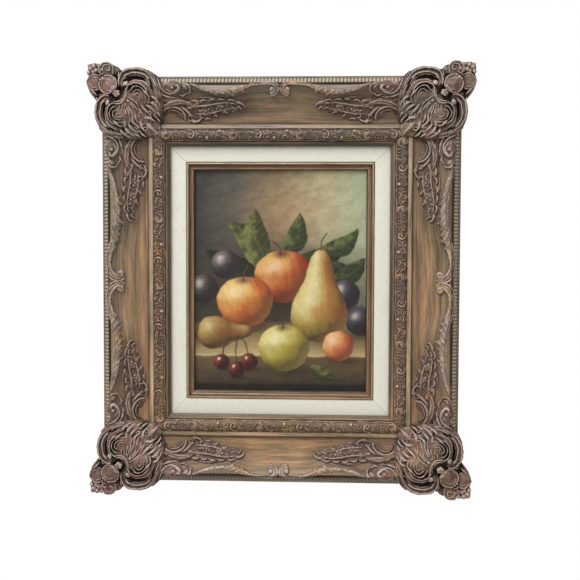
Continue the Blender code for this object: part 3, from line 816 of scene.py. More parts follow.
# %% Groups, materials and shaders
def group(name, inputs, outputs):
    """A node group. An input's value gives its kind: a number, a colour, or None for a vector."""
    made = bpy.data.node_groups.new(name, "ShaderNodeTree")
    for socket, value in inputs.items():
        kind = "Vector" if value is None else "Float" if isinstance(value, (int, float)) else "Color"
        new = made.interface.new_socket(socket, in_out="INPUT", socket_type="NodeSocket" + kind)
        if value is not None:
            new.default_value = value if kind == "Float" else rgba(value)
    for socket, kind in outputs.items():
        made.interface.new_socket(socket, in_out="OUTPUT", socket_type="NodeSocket" + kind)
    given = made.nodes.new("NodeGroupInput").outputs
    return made, given, made.nodes.new("NodeGroupOutput").inputs


def place_group(tree, made, inputs):
    node = tree.nodes.new("ShaderNodeGroup")
    node.node_tree = made
    for socket, value in inputs.items():
        plain = isinstance(value, (int, float, bpy.types.NodeSocket))
        feed(tree, node.inputs[socket], value if plain else rgba(value))
    return node.outputs


def give(tree, result, **outputs):
    for socket, value in outputs.items():
        tree.links.new(value, result[socket])


def stored(tree, name):
    return put(tree, "Attribute", attribute_name=name).outputs["Fac"]


def blank(name):
    """A new material, with its tree, its shader and the object's own coordinates."""
    made = bpy.data.materials.new(name)
    made.use_nodes = True
    tree = made.node_tree
    return made, tree, tree.nodes["Principled BSDF"], put(tree, "TexCoord").outputs["Object"]


def wire(tree, shader, colour, rough, height, depth, specular=0.4):
    """Links colour, roughness and a bump of a depth in metres to the shader."""
    bump = put(tree, "Bump", {"Height": height, "Distance": depth, "Strength": 1.0})
    shader.inputs["Specular IOR Level"].default_value = specular
    for socket, value in (("Base Color", colour), ("Roughness", rough), ("Normal", bump.outputs[0])):
        feed(tree, shader.inputs[socket], value)


print("node helpers ready")

# %% [markdown]
# ## The old finish
# The ornament was toned brown over a reddish clay, then rubbed back, and years of dust have settled in it.
# The group mixes the two tones in broad patches, darkens the hollows and lightens the ridges, and breaks
# all of it up with fine specks, so that no edge of the wear looks drawn.

# %% Group the old finish
old_finish, given, result = group(
    "old_finish",
    {"Place": None, "Hollow": 0.0, "Ridge": 0.0, "Tone": (0.2, 0.16, 0.13), "Clay": (0.25, 0.14, 0.11),
     "Rub": (0.5, 0.42, 0.37), "Dirt": (0.03, 0.022, 0.016)},
    {"Color": "Color", "Roughness": "Float", "Height": "Float"})
tree = old_finish
patch = noise(tree, given["Place"], 24, 3)
mottle = noise(tree, given["Place"], 170, 4, 0.6)
speck = noise(tree, given["Place"], 1100, 2, 0.6)
low_down = band(tree, put(tree, "SeparateXYZ", {0: given["Place"]}).outputs[2], -0.02, -0.34)
patched = times(tree, band(tree, patch, 0.44, 0.62), 0.8)
bared = maths(tree, "MULTIPLY_ADD", low_down, 0.5, patched, clamp=True)
toned = blend(tree, bared, given["Tone"], given["Clay"])
olive = times(tree, band(tree, noise(tree, given["Place"], 31, 2), 0.53, 0.66), 0.75)
toned = blend(tree, olive, toned, tinted(tree, toned, (1.32, 1.22, 0.80, 1)))
toned = tinted(tree, toned, ramp(tree, mottle, [(0.3, 0.52), (0.5, 1.0), (0.7, 1.45)]))
wear = maths(tree, "MULTIPLY", given["Ridge"], maths(tree, "MULTIPLY_ADD", mottle, 1.8, 0.35), clamp=True)
wear = band(tree, wear, 0.12, 0.85)
rubbed = blend(tree, wear, toned, given["Rub"])
dust = times(tree, band(tree, speck, 0.56, 0.74), 0.35)
grime = maths(tree, "ADD", times(tree, given["Hollow"], 1.1), dust, clamp=True)
rough = maths(tree, "MULTIPLY_ADD", grime, 0.3, 0.46)
give(tree, result, Color=blend(tree, grime, rubbed, given["Dirt"]), Roughness=rough,
     Height=maths(tree, "ADD", speck, mottle))
print("old_finish:", len(tree.nodes), "nodes")


# %% Finish the relief pieces
def relief_finish(name, tone, clay, rub, dirt):
    made, tree, shader, place = blank(name)
    old = place_group(tree, old_finish, {
        "Place": place, "Hollow": stored(tree, "hollow"), "Ridge": stored(tree, "ridge"),
        "Tone": tone, "Clay": clay, "Rub": rub, "Dirt": dirt})
    wire(tree, shader, old["Color"], old["Roughness"], old["Height"], 0.00022)
    return made


# For each finish its tone, the clay under it, what rubbing bares and what settles in the hollows.
RELIEF_TONES = {
    "cast": ((0.140, 0.106, 0.080), (0.190, 0.103, 0.084), (0.43, 0.35, 0.30), (0.042, 0.030, 0.023)),
    "spray": ((0.100, 0.070, 0.048), (0.132, 0.068, 0.050), (0.33, 0.25, 0.20), (0.032, 0.022, 0.016)),
    "rib": ((0.235, 0.190, 0.145), (0.255, 0.165, 0.128), (0.56, 0.49, 0.41), (0.032, 0.022, 0.016)),
    "running": ((0.235, 0.170, 0.122), (0.255, 0.152, 0.112), (0.54, 0.44, 0.345), (0.036, 0.023, 0.015)),
    "fluted": ((0.25, 0.20, 0.142), (0.235, 0.163, 0.115), (0.38, 0.31, 0.235), (0.040, 0.029, 0.019)),
    # The fluted edge of the bottom rail faces down, so its copy is darker all over: a painted shade.
    "fluted_in_shade": ((0.10, 0.077, 0.054), (0.10, 0.069, 0.048), (0.18, 0.14, 0.105), (0.024, 0.017, 0.011)),
}
relief = {name: relief_finish(name + "_finish", *tones) for name, tones in RELIEF_TONES.items()}
print("relief finishes:", ", ".join(relief))

# %% [markdown]
# ## The streaked moulding
# The cove is toned and dragged along its length with a dry brush, so it shows long streaks of brown, ochre
# and grey-green. The streaks follow the rail, which turns at each mitre. So they read two numbers that the
# piece remembers, the distance along and the distance across, and not the room's own directions.

# %% Group the dragged grain
dragged_grain, given, result = group(
    "dragged_grain", {"Along": 0.0, "Across": 0.0}, {"Streak": "Float", "Fine": "Float"})
tree = dragged_grain


def stretched(tree, along, across, length, width):
    """Coordinates on a rail for a pattern that is this long and this wide, in mm."""
    return put(tree, "CombineXYZ", {0: maths(tree, "DIVIDE", along, length),
                                    1: maths(tree, "DIVIDE", across, width)}).outputs[0]


broad = noise(tree, stretched(tree, given["Along"], given["Across"], 95, 5.5), 1, 3, 0.6)
narrow = noise(tree, stretched(tree, given["Along"], given["Across"], 30, 1.4), 1, 4, 0.65)
pores = noise(tree, stretched(tree, given["Along"], given["Across"], 6, 0.45), 1, 2, 0.6)
streak = maths(tree, "ADD", times(tree, broad, 0.62), times(tree, narrow, 0.38))
give(tree, result, Streak=streak, Fine=pores)
print("dragged_grain:", len(tree.nodes), "nodes")


def rail_grain(tree):
    """The distance across a rail, and the grain dragged along it."""
    along, across = stored(tree, "along"), stored(tree, "across")
    return across, place_group(tree, dragged_grain, {"Along": along, "Across": across})


# %% [markdown]
# ## The line of the mitres
# Where two lengths meet, glue and dirt leave a hair line at 45 degrees. It could be cut as a groove, but it
# is thinner than any face here. On a mitre the distances in from the side and from the top are equal, so
# one small formula draws the line for all four corners of mouldings, liner and fillet.

# %% Group the mitre line
mitre_line, given, result = group("mitre_line", {"Place": None, "Width": 0.0005}, {"Line": "Float"})
tree = mitre_line
split = put(tree, "SeparateXYZ", {0: given["Place"]}).outputs
in_from_side = maths(tree, "SUBTRACT", WIDTH * MM / 2, maths(tree, "ABSOLUTE", split[0]))
from_middle = maths(tree, "ABSOLUTE", maths(tree, "SUBTRACT", split[2], CENTRE_Z * MM))
in_from_top = maths(tree, "SUBTRACT", HEIGHT * MM / 2, from_middle)
apart = maths(tree, "ABSOLUTE", maths(tree, "SUBTRACT", in_from_side, in_from_top))
closeness = maths(tree, "SUBTRACT", 1.0, maths(tree, "DIVIDE", apart, given["Width"]), clamp=True)
give(tree, result, Line=closeness)
print("mitre_line:", len(tree.nodes), "nodes")


def on_mitre(tree, place, width=0.0005):
    """How near each place is to a mitre, from 0 at this width in metres to 1 on the line itself."""
    return place_group(tree, mitre_line, {"Place": place, "Width": width})["Line"]


# %% [markdown]
# ## The finish of the moulding
# The toning changes across the section: pale on the bed, ochre in the cove, and a painted shade in every
# quirk, on the ground between the flutes and under the crest. It could be a material for each strip, but the
# strips run into each other. A ramp over the distance across gives them all in one, and age and painted light
# come last: soot and a painted shade by the castings, a dark wash with a painted shade round the sprays, a
# painted shade along the rib, painted light low on the frame and painted shade high on it, and a bare back.

# %% Tone the moulding
# Distance in from the outer edge in mm and the tone there: fluted ground, bed, cove, strip, round, bead, lip.
# The dark stops in the quirks and grooves, on the fluted ground between the bars and at the top of the cove
# under the crest are painted shade.
MOULDING_TONES_AND_SHADES = (
    (0, (0.20, 0.155, 0.105)), (2.0, (0.22, 0.17, 0.118)), (2.6, (0.10, 0.075, 0.05)),
    (8.3, (0.11, 0.082, 0.056)), (8.9, (0.035, 0.025, 0.016)), (10.0, (0.06, 0.045, 0.03)),
    (11.0, (0.32, 0.248, 0.186)), (19.0, (0.34, 0.26, 0.195)), (21.5, (0.27, 0.205, 0.15)),
    (24.5, (0.215, 0.155, 0.1)), (31, (0.25, 0.168, 0.1)), (41, (0.285, 0.182, 0.102)),
    (50.6, (0.27, 0.165, 0.095)), (51.8, (0.16, 0.10, 0.06)), (52.5, (0.07, 0.045, 0.028)),
    (53.0, (0.37, 0.27, 0.18)), (56.6, (0.42, 0.315, 0.22)), (57.6, (0.34, 0.245, 0.165)),
    (58.1, (0.06, 0.04, 0.026)), (59.3, (0.12, 0.084, 0.058)), (64, (0.155, 0.11, 0.077)),
    (69.5, (0.12, 0.086, 0.06)), (70.7, (0.06, 0.042, 0.028)), (71.5, (0.25, 0.18, 0.125)),
    (73.0, (0.22, 0.16, 0.11)), (73.8, (0.07, 0.05, 0.034)), (74.6, (0.13, 0.095, 0.065)),
    (76.3, (0.10, 0.075, 0.05)),
)
moulding_finish, tree, shader, place = blank("moulding_finish")
across, grain = rail_grain(tree)
tone = ramp(tree, maths(tree, "DIVIDE", across, MOULDING_WIDTH),
            [(distance / MOULDING_WIDTH, colour) for distance, colour in MOULDING_TONES_AND_SHADES])
streaks = ramp(tree, grain["Streak"], [
    (0.34, (0.36, 0.35, 0.34)), (0.43, (0.66, 0.69, 0.68)), (0.5, (1.0, 1.0, 1.0)),
    (0.56, (1.32, 1.22, 1.08)), (0.64, (1.62, 1.62, 1.52))])
toned = tinted(tree, tone, streaks)
toned = tinted(tree, toned, ramp(tree, grain["Fine"], [(0.3, 0.80), (0.55, 1.02), (0.75, 1.12)]))
cloud = noise(tree, place, 30, 3)
green = times(tree, band(tree, cloud, 0.52, 0.66), 0.4)
toned = blend(tree, green, toned, tinted(tree, toned, (0.80, 0.98, 0.86, 1)))
pink = times(tree, band(tree, cloud, 0.46, 0.34), 0.45)
toned = blend(tree, pink, toned, tinted(tree, toned, (1.18, 0.98, 0.95, 1)))
print("moulding toned in", len(MOULDING_TONES_AND_SHADES), "steps across")

# %% Age and shade the moulding
SOOT_AND_SHADE, WASH_AND_SHADE = (0.03, 0.022, 0.015), (0.075, 0.048, 0.032)
BARE_BACK, PLAIN_SIDE = (0.30, 0.205, 0.12), (0.16, 0.115, 0.075)
CASTING_SHADE_REACH = (72, 58)  # where the shade of a corner casting begins and where it is full, in mm
SPRAY_PLACE, SPRAY_REACH = (108.0, 36.0), (60.0, 15.5)  # of the dark wash and painted shade round a spray, in mm
RIB_LINE, RIB_SHADE = 17.5, 4.0

specks = band(tree, noise(tree, place, 620, 2, 0.6), 0.66, 0.74)
toned = veil(tree, toned, specks, 0.6, (0.06, 0.042, 0.03))
# A dark hair line at the mitres, and soot with a painted shade where the cove runs under the castings.
toned = veil(tree, toned, on_mitre(tree, place, 0.0006), 0.7, SOOT_AND_SHADE)
toned = veil(tree, toned, band(tree, stored(tree, "from_end"), *CASTING_SHADE_REACH), 0.8, SOOT_AND_SHADE)
# Painted light and shade by height: lighter towards the bottom of the frame, and darker and a little greyer
# towards the top, as the light falls from above.
height_share = band(tree, put(tree, "SeparateXYZ", {0: place}).outputs[2], -0.42, 0.04)
shade_by_height = ramp(tree, height_share, [
    (0.05, (1.16, 1.14, 1.06)), (0.4, 1.0), (0.6, 1.0), (0.95, (0.80, 0.88, 0.97))])
toned = tinted(tree, toned, shade_by_height)
# A dark wash with a painted shade round each spray, and a painted shade along the rib.
past_spray = maths(tree, "SUBTRACT", stored(tree, "from_end"), SPRAY_PLACE[0])
lengthwise = maths(tree, "DIVIDE", past_spray, SPRAY_REACH[0])
crosswise = maths(tree, "DIVIDE", maths(tree, "SUBTRACT", across, SPRAY_PLACE[1]), SPRAY_REACH[1])
apart = maths(tree, "ADD", times(tree, lengthwise, lengthwise), times(tree, crosswise, crosswise))
apart = maths(tree, "ADD", apart, times(tree, maths(tree, "SUBTRACT", cloud, 0.5), 1.6))
washed_and_shaded = times(tree, band(tree, apart, 1.5, 0.5), 0.42)
off_rib = maths(tree, "ABSOLUTE", maths(tree, "SUBTRACT", across, RIB_LINE))
shade_by_rib = maths(tree, "SUBTRACT", 1.0, maths(tree, "DIVIDE", off_rib, RIB_SHADE), clamp=True)
toned = blend(tree, maths(tree, "MAXIMUM", washed_and_shaded, times(tree, shade_by_rib, 0.3)), toned, (*WASH_AND_SHADE, 1))
deep = put(tree, "SeparateXYZ", {0: place}).outputs[1]
toned = veil(tree, toned, band(tree, deep, -0.0285, -0.02), 0.8, PLAIN_SIDE)
toned = blend(tree, band(tree, deep, -0.0026, -0.0022), toned, (*BARE_BACK, 1))
height = maths(tree, "ADD", grain["Streak"], times(tree, grain["Fine"], 0.5))
rough = maths(tree, "MULTIPLY_ADD", grain["Streak"], -0.35, 0.64)
wire(tree, shader, toned, rough, height, 0.0003, 0.35)
print("moulding_finish:", len(tree.nodes), "nodes")


# %% [markdown]
# ## Putting a piece in its place
# Every finished piece gets its material, moves with the frame and stands in for the solid it covers. Lengths
# also remember their flat places for the grain before they are laid.

# %% Register a piece
GRAIN_SHIFT = 1000  # keeps the sides from sharing one run of grain, in mm
SHARP = math.radians(28)


def register(made, material, slot, *stands_for):
    made.data.materials.clear()
    made.data.materials.append(material)
    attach(made, "root")
    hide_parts(*stands_for)


def finish_length(made, side, material, slot, node, section_across=None):
    """Remembers its flat places for the grain, lays it on its side and registers it."""
    flat = points_of(made)
    half = half_length(side)
    keep_values(made, "from_end", half - np.abs(half - flat[:, 0]))
    keep_values(made, "along", flat[:, 0] + GRAIN_SHIFT * SIDES.index(side))
    keep_values(made, "across", flat[:, 1] if section_across is None else section_across)
    lay(made, side_places(side), flat[:, 2])
    only(made)
    bpy.ops.object.shade_smooth_by_angle(angle=SHARP)
    register(made, material, slot, node)


print("edges sharper than", round(math.degrees(SHARP)), "degrees stay crisp")

# %% [markdown]
# ## The four mouldings
# The Screw sweeps the section along the rail in many stations. Each station's crest is then moved over to
# where the rib runs, and the bed and the cove on either side of it stretch to suit.

# %% Mill the mouldings
STATIONS = 110
FRONT_FROM = CANVAS_FACE + 10  # what lies higher belongs to the front


def bend_crest(made, side):
    """Moves the points of the bed and of the cove so that the crest follows the ribs."""
    flat = points_of(made)
    across = flat[:, 1].copy()
    crest = crest_at(flat[:, 0], side)
    front = (flat[:, 2] > FRONT_FROM) & (across > RISE_AT + 0.01) & (across < COVE_END - 0.01)
    in_bed = RISE_AT + (across - RISE_AT) / (CREST_AT - RISE_AT) * (crest - RISE_AT)
    in_cove = crest + (across - CREST_AT) / (COVE_END - CREST_AT) * (COVE_END - crest)
    flat[:, 1] = np.where(front, np.where(across <= CREST_AT, in_bed, in_cove), across)
    move_points(made, flat)
    return across


for side in SIDES:
    length = milled("moulding_" + side, section, side, STATIONS)
    section_across = bend_crest(length, side)
    finish_length(length, side, moulding_finish, "moulding", "rail_" + side, section_across)
print("each moulding:", triangles(length), "triangles")

# %% [markdown]
# ## Seating the corners
# A casting's own drawing is flat. On the frame it lies over the cove and the rise, so its heights are
# counted from a soft bed that follows the moulding under it, and its ears hang free past the outer edge.

# %% Lay the cartouches
EAR_BACK = 20.0
BED_IN = (-20, 3, 12, 25, 40, 52, 70)
BED_HIGH = (33, 33.5, 40, 40.5, 37, 34.5, 34)


def smooth_piece(made):
    only(made)
    bpy.ops.object.shade_smooth()


for corner in CORNERS:
    made = copy_of(cartouche, "cartouche_" + corner)
    flat = points_of(made)
    bed = np.interp(np.minimum(flat[:, 0], flat[:, 1]), BED_IN, BED_HIGH)
    lay(made, corner_places(corner), np.maximum(bed + flat[:, 2], EAR_BACK))
    smooth_piece(made)
    register(made, relief["cast"], "cartouche", "corner_" + corner)
print("cartouches laid on", len(CORNERS), "corners")

# %% [markdown]
# ## The sprays
# From each corner a spray trails into the cove: a long leaf, an arch with a hooked end, two small blossoms
# and a tapering tail of leaves and curls, all on low swellings. A leaf swells and thins, so one helper
# gives a stroke its sizes from a flat line, a width and a height. The drawing is made once. It is laid
# eight times, with its heights counted from the moulding under each point.

# %% Draw the spray
def drawn(points, width, height, start=0.4, end=0.15, low=0.35):
    """Rows of a stroke that swells to its width and height and thins towards both ends."""
    share = np.linspace(0, 1, len(points))
    swell = np.interp(share, (0, 0.45, 1), (start, 1, end))
    rise = np.interp(share, (0, 0.4, 1), (low, 1, low))
    return [(a, b, height * r, width * s) for (a, b), r, s in zip(points, rise, swell)]


def curl(s, u, radius, start, turn, height=1.6, size=0.75):
    """A C-curl that winds in a little towards its own centre."""
    angles = np.radians(np.linspace(start, start + turn, 9))
    shrink = np.linspace(1, 0.55, 9)
    points = [(s + radius * k * math.cos(t), u + radius * k * math.sin(t)) for t, k in zip(angles, shrink)]
    return drawn(points, size, height, 0.6, 0.7, 0.7)


SPRAY_SWELLS = (
    (86, 34, 20, 6.5, 0.9), (104, 34, 16, 9, 1.0), (118, 36, 18, 11, 1.1), (134, 34, 17, 8.5, 1.0),
    (146, 32.4, 14, 6, 0.8), (106, 43, 12, 6, 0.8), (90, 41, 9, 6, 0.7),
)
SPRAY_RIDGES = [
    drawn([(65.5, 46), (68, 40), (73.6, 35.8), (80.4, 34.4), (87.4, 36.4), (92, 41.2), (92.8, 47.6)],
          1.5, 3.0, 0.6, 0.7),
    drawn([(69.5, 45), (73, 40), (79.6, 37.8), (85.6, 39.4), (89.6, 43.2), (90.4, 47.4)],
          0.6, 2.4, 0.6, 0.5),
    drawn([(97, 42), (101, 47.2), (106.4, 49.6), (112, 48.4)], 0.9, 2.2, 0.7, 0.3),
    drawn([(103, 25.6), (112, 24.6), (122, 24.4), (132, 25.6), (140, 26)], 0.7, 1.8, 0.3, 0.3),
    drawn([(96, 36), (106, 33.8), (116, 33.4), (127, 31), (138, 30.2), (148, 31.4)],
          0.8, 3.6, 0.8, 0.4, 0.8),
    drawn([(104, 41), (114, 42), (124, 40.2), (134, 38), (143, 36)], 0.7, 3.0, 0.7, 0.4, 0.8),
]
SPRAY_LEAVES = [
    drawn([(64, 38), (71, 33.6), (79, 30.8), (88, 29.4), (96, 30.4), (101.6, 33.6)],
          2.7, 3.6, 0.4, 0.7, 0.6),
    drawn([(66, 31.6), (75, 28.4), (84, 26.6), (93, 26), (102, 27.6)], 1.3, 2.4, 0.4, 0.3),
    drawn([(88, 34), (93, 36.6), (98, 42), (101.4, 48.6)], 1.5, 3.2, 0.4, 0.3, 0.6),
    drawn([(97, 47.8), (102, 50.2), (107.6, 49.4), (110.6, 46)], 1.4, 3.2, 0.5, 0.5, 0.7),
    drawn([(98, 29), (104, 27.6), (109.6, 30), (112.4, 34)], 1.3, 3.2),
    drawn([(108, 29), (114, 27), (120, 29)], 1.2, 2.8),
    drawn([(117, 28.6), (123, 26.2), (129.6, 28.2)], 1.2, 2.8),
    drawn([(127, 28.4), (133, 26.4), (139.4, 28.6)], 1.1, 2.6),
    drawn([(137, 29.4), (143, 27), (149, 29), (150.4, 33)], 1.2, 2.8),
    drawn([(104, 37), (110, 38.6), (114, 43.4)], 1.2, 3.2),
    drawn([(121, 42), (126.4, 43), (130.6, 46)], 1.1, 2.4),
    drawn([(130, 39.4), (136, 39.6), (141.4, 42.6)], 1.2, 2.6),
    drawn([(139, 35.6), (145, 35), (151, 37.6)], 1.1, 2.4),
    drawn([(146, 31), (152.4, 30), (157.6, 33), (156, 37)], 1.3, 2.8),
    drawn([(150, 34), (153.6, 35.6), (154.6, 39)], 1.0, 2.2),
    drawn([(111, 47.6), (118, 46.6), (124, 47.8)], 1.0, 2.0),
]
BLOSSOMS = ((116, 38.4, 5.0), (130.6, 34.4, 4.6), (106.4, 32.6, 3.6))
SPRAY_CURLS = [
    curl(99.4, 45, 2.6, 150, 280, 3.0, 0.7), curl(123.6, 33.2, 2.6, 60, 290, 3.4, 0.65),
    curl(111, 43.8, 2.4, 20, 280, 2.8, 0.65), curl(138, 32, 2.5, 180, 300, 3.0, 0.6),
    curl(124.6, 39.4, 2.2, -30, 280, 3.0, 0.6), curl(145.4, 31.8, 2.2, 120, 290, 2.8, 0.6),
    curl(112.4, 29.6, 1.9, 90, 270, 2.8, 0.55), curl(137.4, 37.4, 1.9, 10, 280, 2.8, 0.55),
    curl(97, 33, 2.2, -60, 280, 3.2, 0.65), curl(151, 33.4, 1.8, -60, 280, 2.6, 0.55),
]
parts = []
for s, u, long, wide, rise in SPRAY_SWELLS:
    swelling = dome(s, u, -0.6, 1, rise + 0.6)
    swelling.scale = (long, wide, rise + 0.6)
    parts.append(swelling)
for s, u, radius in BLOSSOMS:
    parts.append(dome(s, u, 3.0, 0.26 * radius, 1.6))
    for petal in range(5):
        turn = math.radians(72 * petal + s)
        out_s, out_u = 0.62 * radius * math.cos(turn), 0.62 * radius * math.sin(turn)
        parts.append(dome(s + out_s, u + out_u, 2.1, 0.4 * radius, 1.6))
parts += [strokes("leaf", SPRAY_LEAVES, 3), strokes("bead", SPRAY_RIDGES + SPRAY_CURLS, 3)]
spray = cast("spray", parts, voxel=0.46, keep=0.26)

# %% [markdown]
# ## The rolled leaf
# Between each cartouche and the start of the rib, a leaf rolls up on the bed beside the fluted edge: a low
# swelling with nested ridges, like the end of a scroll, and a small hooked leaf that the rib springs from.

# %% Draw the rolled leaf
ROLL_S, ROLL_U, LONGER, FLATTER = 80, 14, 1.25, 0.85


def pressed(row):
    """A row of a round curl, pressed out to the longer and flatter roll."""
    s, u, *rest = row
    return (ROLL_S + LONGER * (s - ROLL_S), ROLL_U + FLATTER * (u - ROLL_U), *rest)


ROLL_RINGS = [curl(80, 14, 9.0, 175, -280, 3.0, 0.9), curl(81.5, 14.4, 6.2, 160, -260, 3.6, 0.8),
              curl(83, 14.6, 3.4, 140, -250, 4.2, 0.7)]
ROLL_RINGS = [[pressed(row) for row in line] for line in ROLL_RINGS]
ROLL_LEAVES = [
    drawn([(62, 17), (68, 21), (76, 24.2), (85, 24.4), (92, 21)], 1.3, 2.2),
    drawn([(62, 10.8), (70, 9.2), (78, 9.4), (85, 11)], 1.3, 2.4, 0.5, 0.5),
    drawn([(87, 9.4), (93.6, 9.2), (98.4, 12), (99.4, 17), (95.6, 21)], 1.5, 3.4, 0.5, 0.4),
    drawn([(90, 12), (94.2, 13), (95.6, 16.4), (93, 19.6)], 0.8, 3.0),
    drawn([(62, 24), (69, 26.6), (77, 27.4), (84, 26.6)], 1.0, 1.8),
    drawn([(63, 13.6), (68, 15.4), (71.6, 19.4)], 1.1, 2.2),
    drawn([(86, 21), (91, 22.6), (97, 20.4), (103, 16)], 1.1, 2.4),
]
parts = [dome(ROLL_S, ROLL_U, -1, 11.4, 3.4), dome(80.6, 14.4, 2.4, 1.7, 2.4), strokes("bead", ROLL_RINGS),
         strokes("leaf", ROLL_LEAVES), dome(94.6, 13.6, 0, 3.4, 2.4), dome(67, 16, -1, 6.4, 2.4)]
rolled_leaf = cast("rolled_leaf", parts, voxel=0.46, keep=0.26)


# %% Lay the sprays and the rolled leaves
ENDS = {-1: "start", 1: "end"}
CLOCKWISE = ("top_left", "top_right", "bottom_right", "bottom_left")


def lay_copy(master, name, side, hand, *registered):
    """Lays a copy at one end of a side, with its heights counted from the moulding's face."""
    made = copy_of(master, f"{name}_{side}_{ENDS[hand]}")
    flat = points_of(made)
    lay(made, side_places(side, -hand), face_height(flat[:, 0], flat[:, 1], side) + flat[:, 2])
    smooth_piece(made)
    register(made, *registered)


for master, name, finish in ((spray, "spray", "spray"), (rolled_leaf, "rolled_leaf", "cast")):
    for place, side in enumerate(SIDES):
        for hand in ENDS:
            corner = "corner_" + CLOCKWISE[(place + (hand > 0)) % 4]
            lay_copy(master, name, side, hand, relief[finish], "cartouche", corner)
print("sprays and rolled leaves laid at both ends of", len(SIDES), "sides")

# %% [markdown]
# ## The swept ribs
# A rib is a long blade of ridges along the crest, three on the uprights and two on the top and bottom rails.
# It is narrow on the top and bottom rails and broad on the uprights, and small leaves fringe its belly. It
# ends in a hooked volute near the rail's middle.

# %% Draw the ribs
def rib(side):
    upright = side == "left"
    sweep = sweep_of(half_length(side))
    end = sweep[-1, 0]
    places = [tuple(place) for place in sweep[::4]]
    if upright:
        ridges, ball, belly = ((-3.6, 1.0), (-0.6, 1.1), (2.4, 1.6)), (end + 21.4, 22.4, 4.2), (128, 182)
        hook = [(end + 9, 8.9), (end + 18, 11), (end + 24.6, 15.4), (end + 27, 21), (end + 24.6, 26)]
    else:
        ridges, ball, belly = ((-1.7, 1.1), (1.2, 1.5)), (end + 21.6, 16.4, 3.4), (118, 158)
        hook = [(end + 9, 9.2), (end + 18, 8.8), (end + 25, 11), (end + 27.4, 15.6), (end + 25, 20.2),
                (end + 20, 21.2)]
    line = np.array(places + hook)
    across = np.gradient(line, axis=0) @ np.array([[0, 1], [-1, 0]])
    across /= np.linalg.norm(across, axis=1)[:, None]
    share = np.linspace(0, 1, len(line))
    swell = np.interp(share, (0, 0.12, 0.4, 0.75, 0.86, 1), (0.4, 0.8, 1.0, 1.0, 1.1, 0.8))[:, None]
    lift = np.interp(share, (0, 0.2, 0.7, 1), (0.5, 1.5, 1.5, 2.4))[:, None]
    rows = [np.hstack([line + across * shift * swell, lift, size * (0.5 + 0.5 * swell)])
            for shift, size in ridges]
    middle = (ridges[0][0] + ridges[-1][0]) / 2
    half = (ridges[-1][0] - ridges[0][0]) / 2
    body = np.hstack([line + across * middle * swell, lift * 0 - 0.4 * half, half * swell])
    fringe = []
    for step, s in enumerate(np.arange(*belly, 6.6 if upright else 5.8)):
        u = float(np.interp(s, sweep[:, 0], sweep[:, 1]))
        reach = (7.6 if upright else 5.2) * (0.8 + 0.2 * math.sin(2.1 * step))
        tip = [(s - 7, u - 2.0), (s - 1, u + 0.15 * reach)]
        tip += [(s + 3.6, u + 0.55 * reach), (s + 5.4, u + reach)]
        fringe.append(drawn(tip, 1.7 if upright else 1.3, 2.9, 0.5, 0.5, 0.6))
        low = [(s - 3, u + 0.6), (s + 3.4, u + 0.24 * reach), (s + 7.4, u + 0.6 * reach)]
        fringe.append(drawn(low, 1.2 if upright else 0.9, 2.5, 0.5, 0.4, 0.6))
    parts = [strokes("bead", rows, 3), strokes("leaf", fringe, 3), strokes("bead", [body], 3),
             dome(*ball[:2], 0.4, ball[2], 3.4), ring(*ball[:2], 2.6, 0.62 * ball[2], 0.6)]
    return cast("rib_" + side, parts, voxel=0.44, keep=0.34)


ribs = {"left": rib("left"), "top": rib("top")}
for side in SIDES:
    master = ribs["left" if side in ("left", "right") else "top"]
    for hand in ENDS:
        lay_copy(master, "rib", side, hand, relief["rib"], "moulding", "rail_" + side)

# %% [markdown]
# ## The running ornament
# This ornament came from a long mould and was cut at the mitres wherever the length ended. One repeat is
# drawn: a bead under an arch, leaves, a rosette, a small arch and a C-scroll. An Array repeats it along the
# rail, Bisect cuts both ends to the mitre, and each point is then raised from the round it lies on.

# %% Draw one repeat
REPEAT, RUN_START, RUN_MIDDLE = 73.0, 44, 64.2


def run_line(points, width, height=1.0, start=0.7, end=0.5):
    return drawn([(s, RUN_MIDDLE + v) for s, v in points], width, height, start, end, 0.7)


def run_arc(s, v, radius, start, turn, size=0.75, height=1.1):
    return curl(s, RUN_MIDDLE + v, radius, start, turn, height, size)


RUN_BEADS = [
    run_arc(0, 0.6, 5.0, 200, 140), run_arc(0, 1.8, 2.8, 190, 160, 0.6), run_arc(28, 0, 4.9, 0, 359, 0.8),
    run_arc(28, 0, 2.9, 40, 300, 0.55), run_arc(55, 0, 5.2, -110, 250, 0.9, 1.4),
    run_arc(56.4, 0.4, 2.9, 60, 270, 0.6), run_arc(14.5, -1.4, 3.0, 160, 250, 0.65),
    run_arc(39.5, 0, 3.6, 180, 180, 0.7), run_arc(39.5, 1.6, 1.8, 180, 180, 0.55),
    run_arc(66, -1.2, 2.6, 20, -250, 0.6), run_arc(46.8, -1.8, 2.3, 150, 250, 0.55),
    run_line([(-6, -2.5), (-6.6, 1.4), (-5.4, 4.6)], 0.6),
    run_line([(6, -2.5), (6.6, 1.4), (5.4, 4.6)], 0.6), run_line([(36, 0.4), (35.6, 3.4), (36.4, 5.4)], 0.6),
    run_line([(43, 0.4), (43.4, 3.4), (42.6, 5.4)], 0.6),
    run_line([(0, 5.4), (12, 6.2), (24, 5.7), (37, 6.3), (50, 5.7), (62, 6.3), (73, 5.4)], 0.55, 0.9, 1, 1),
]
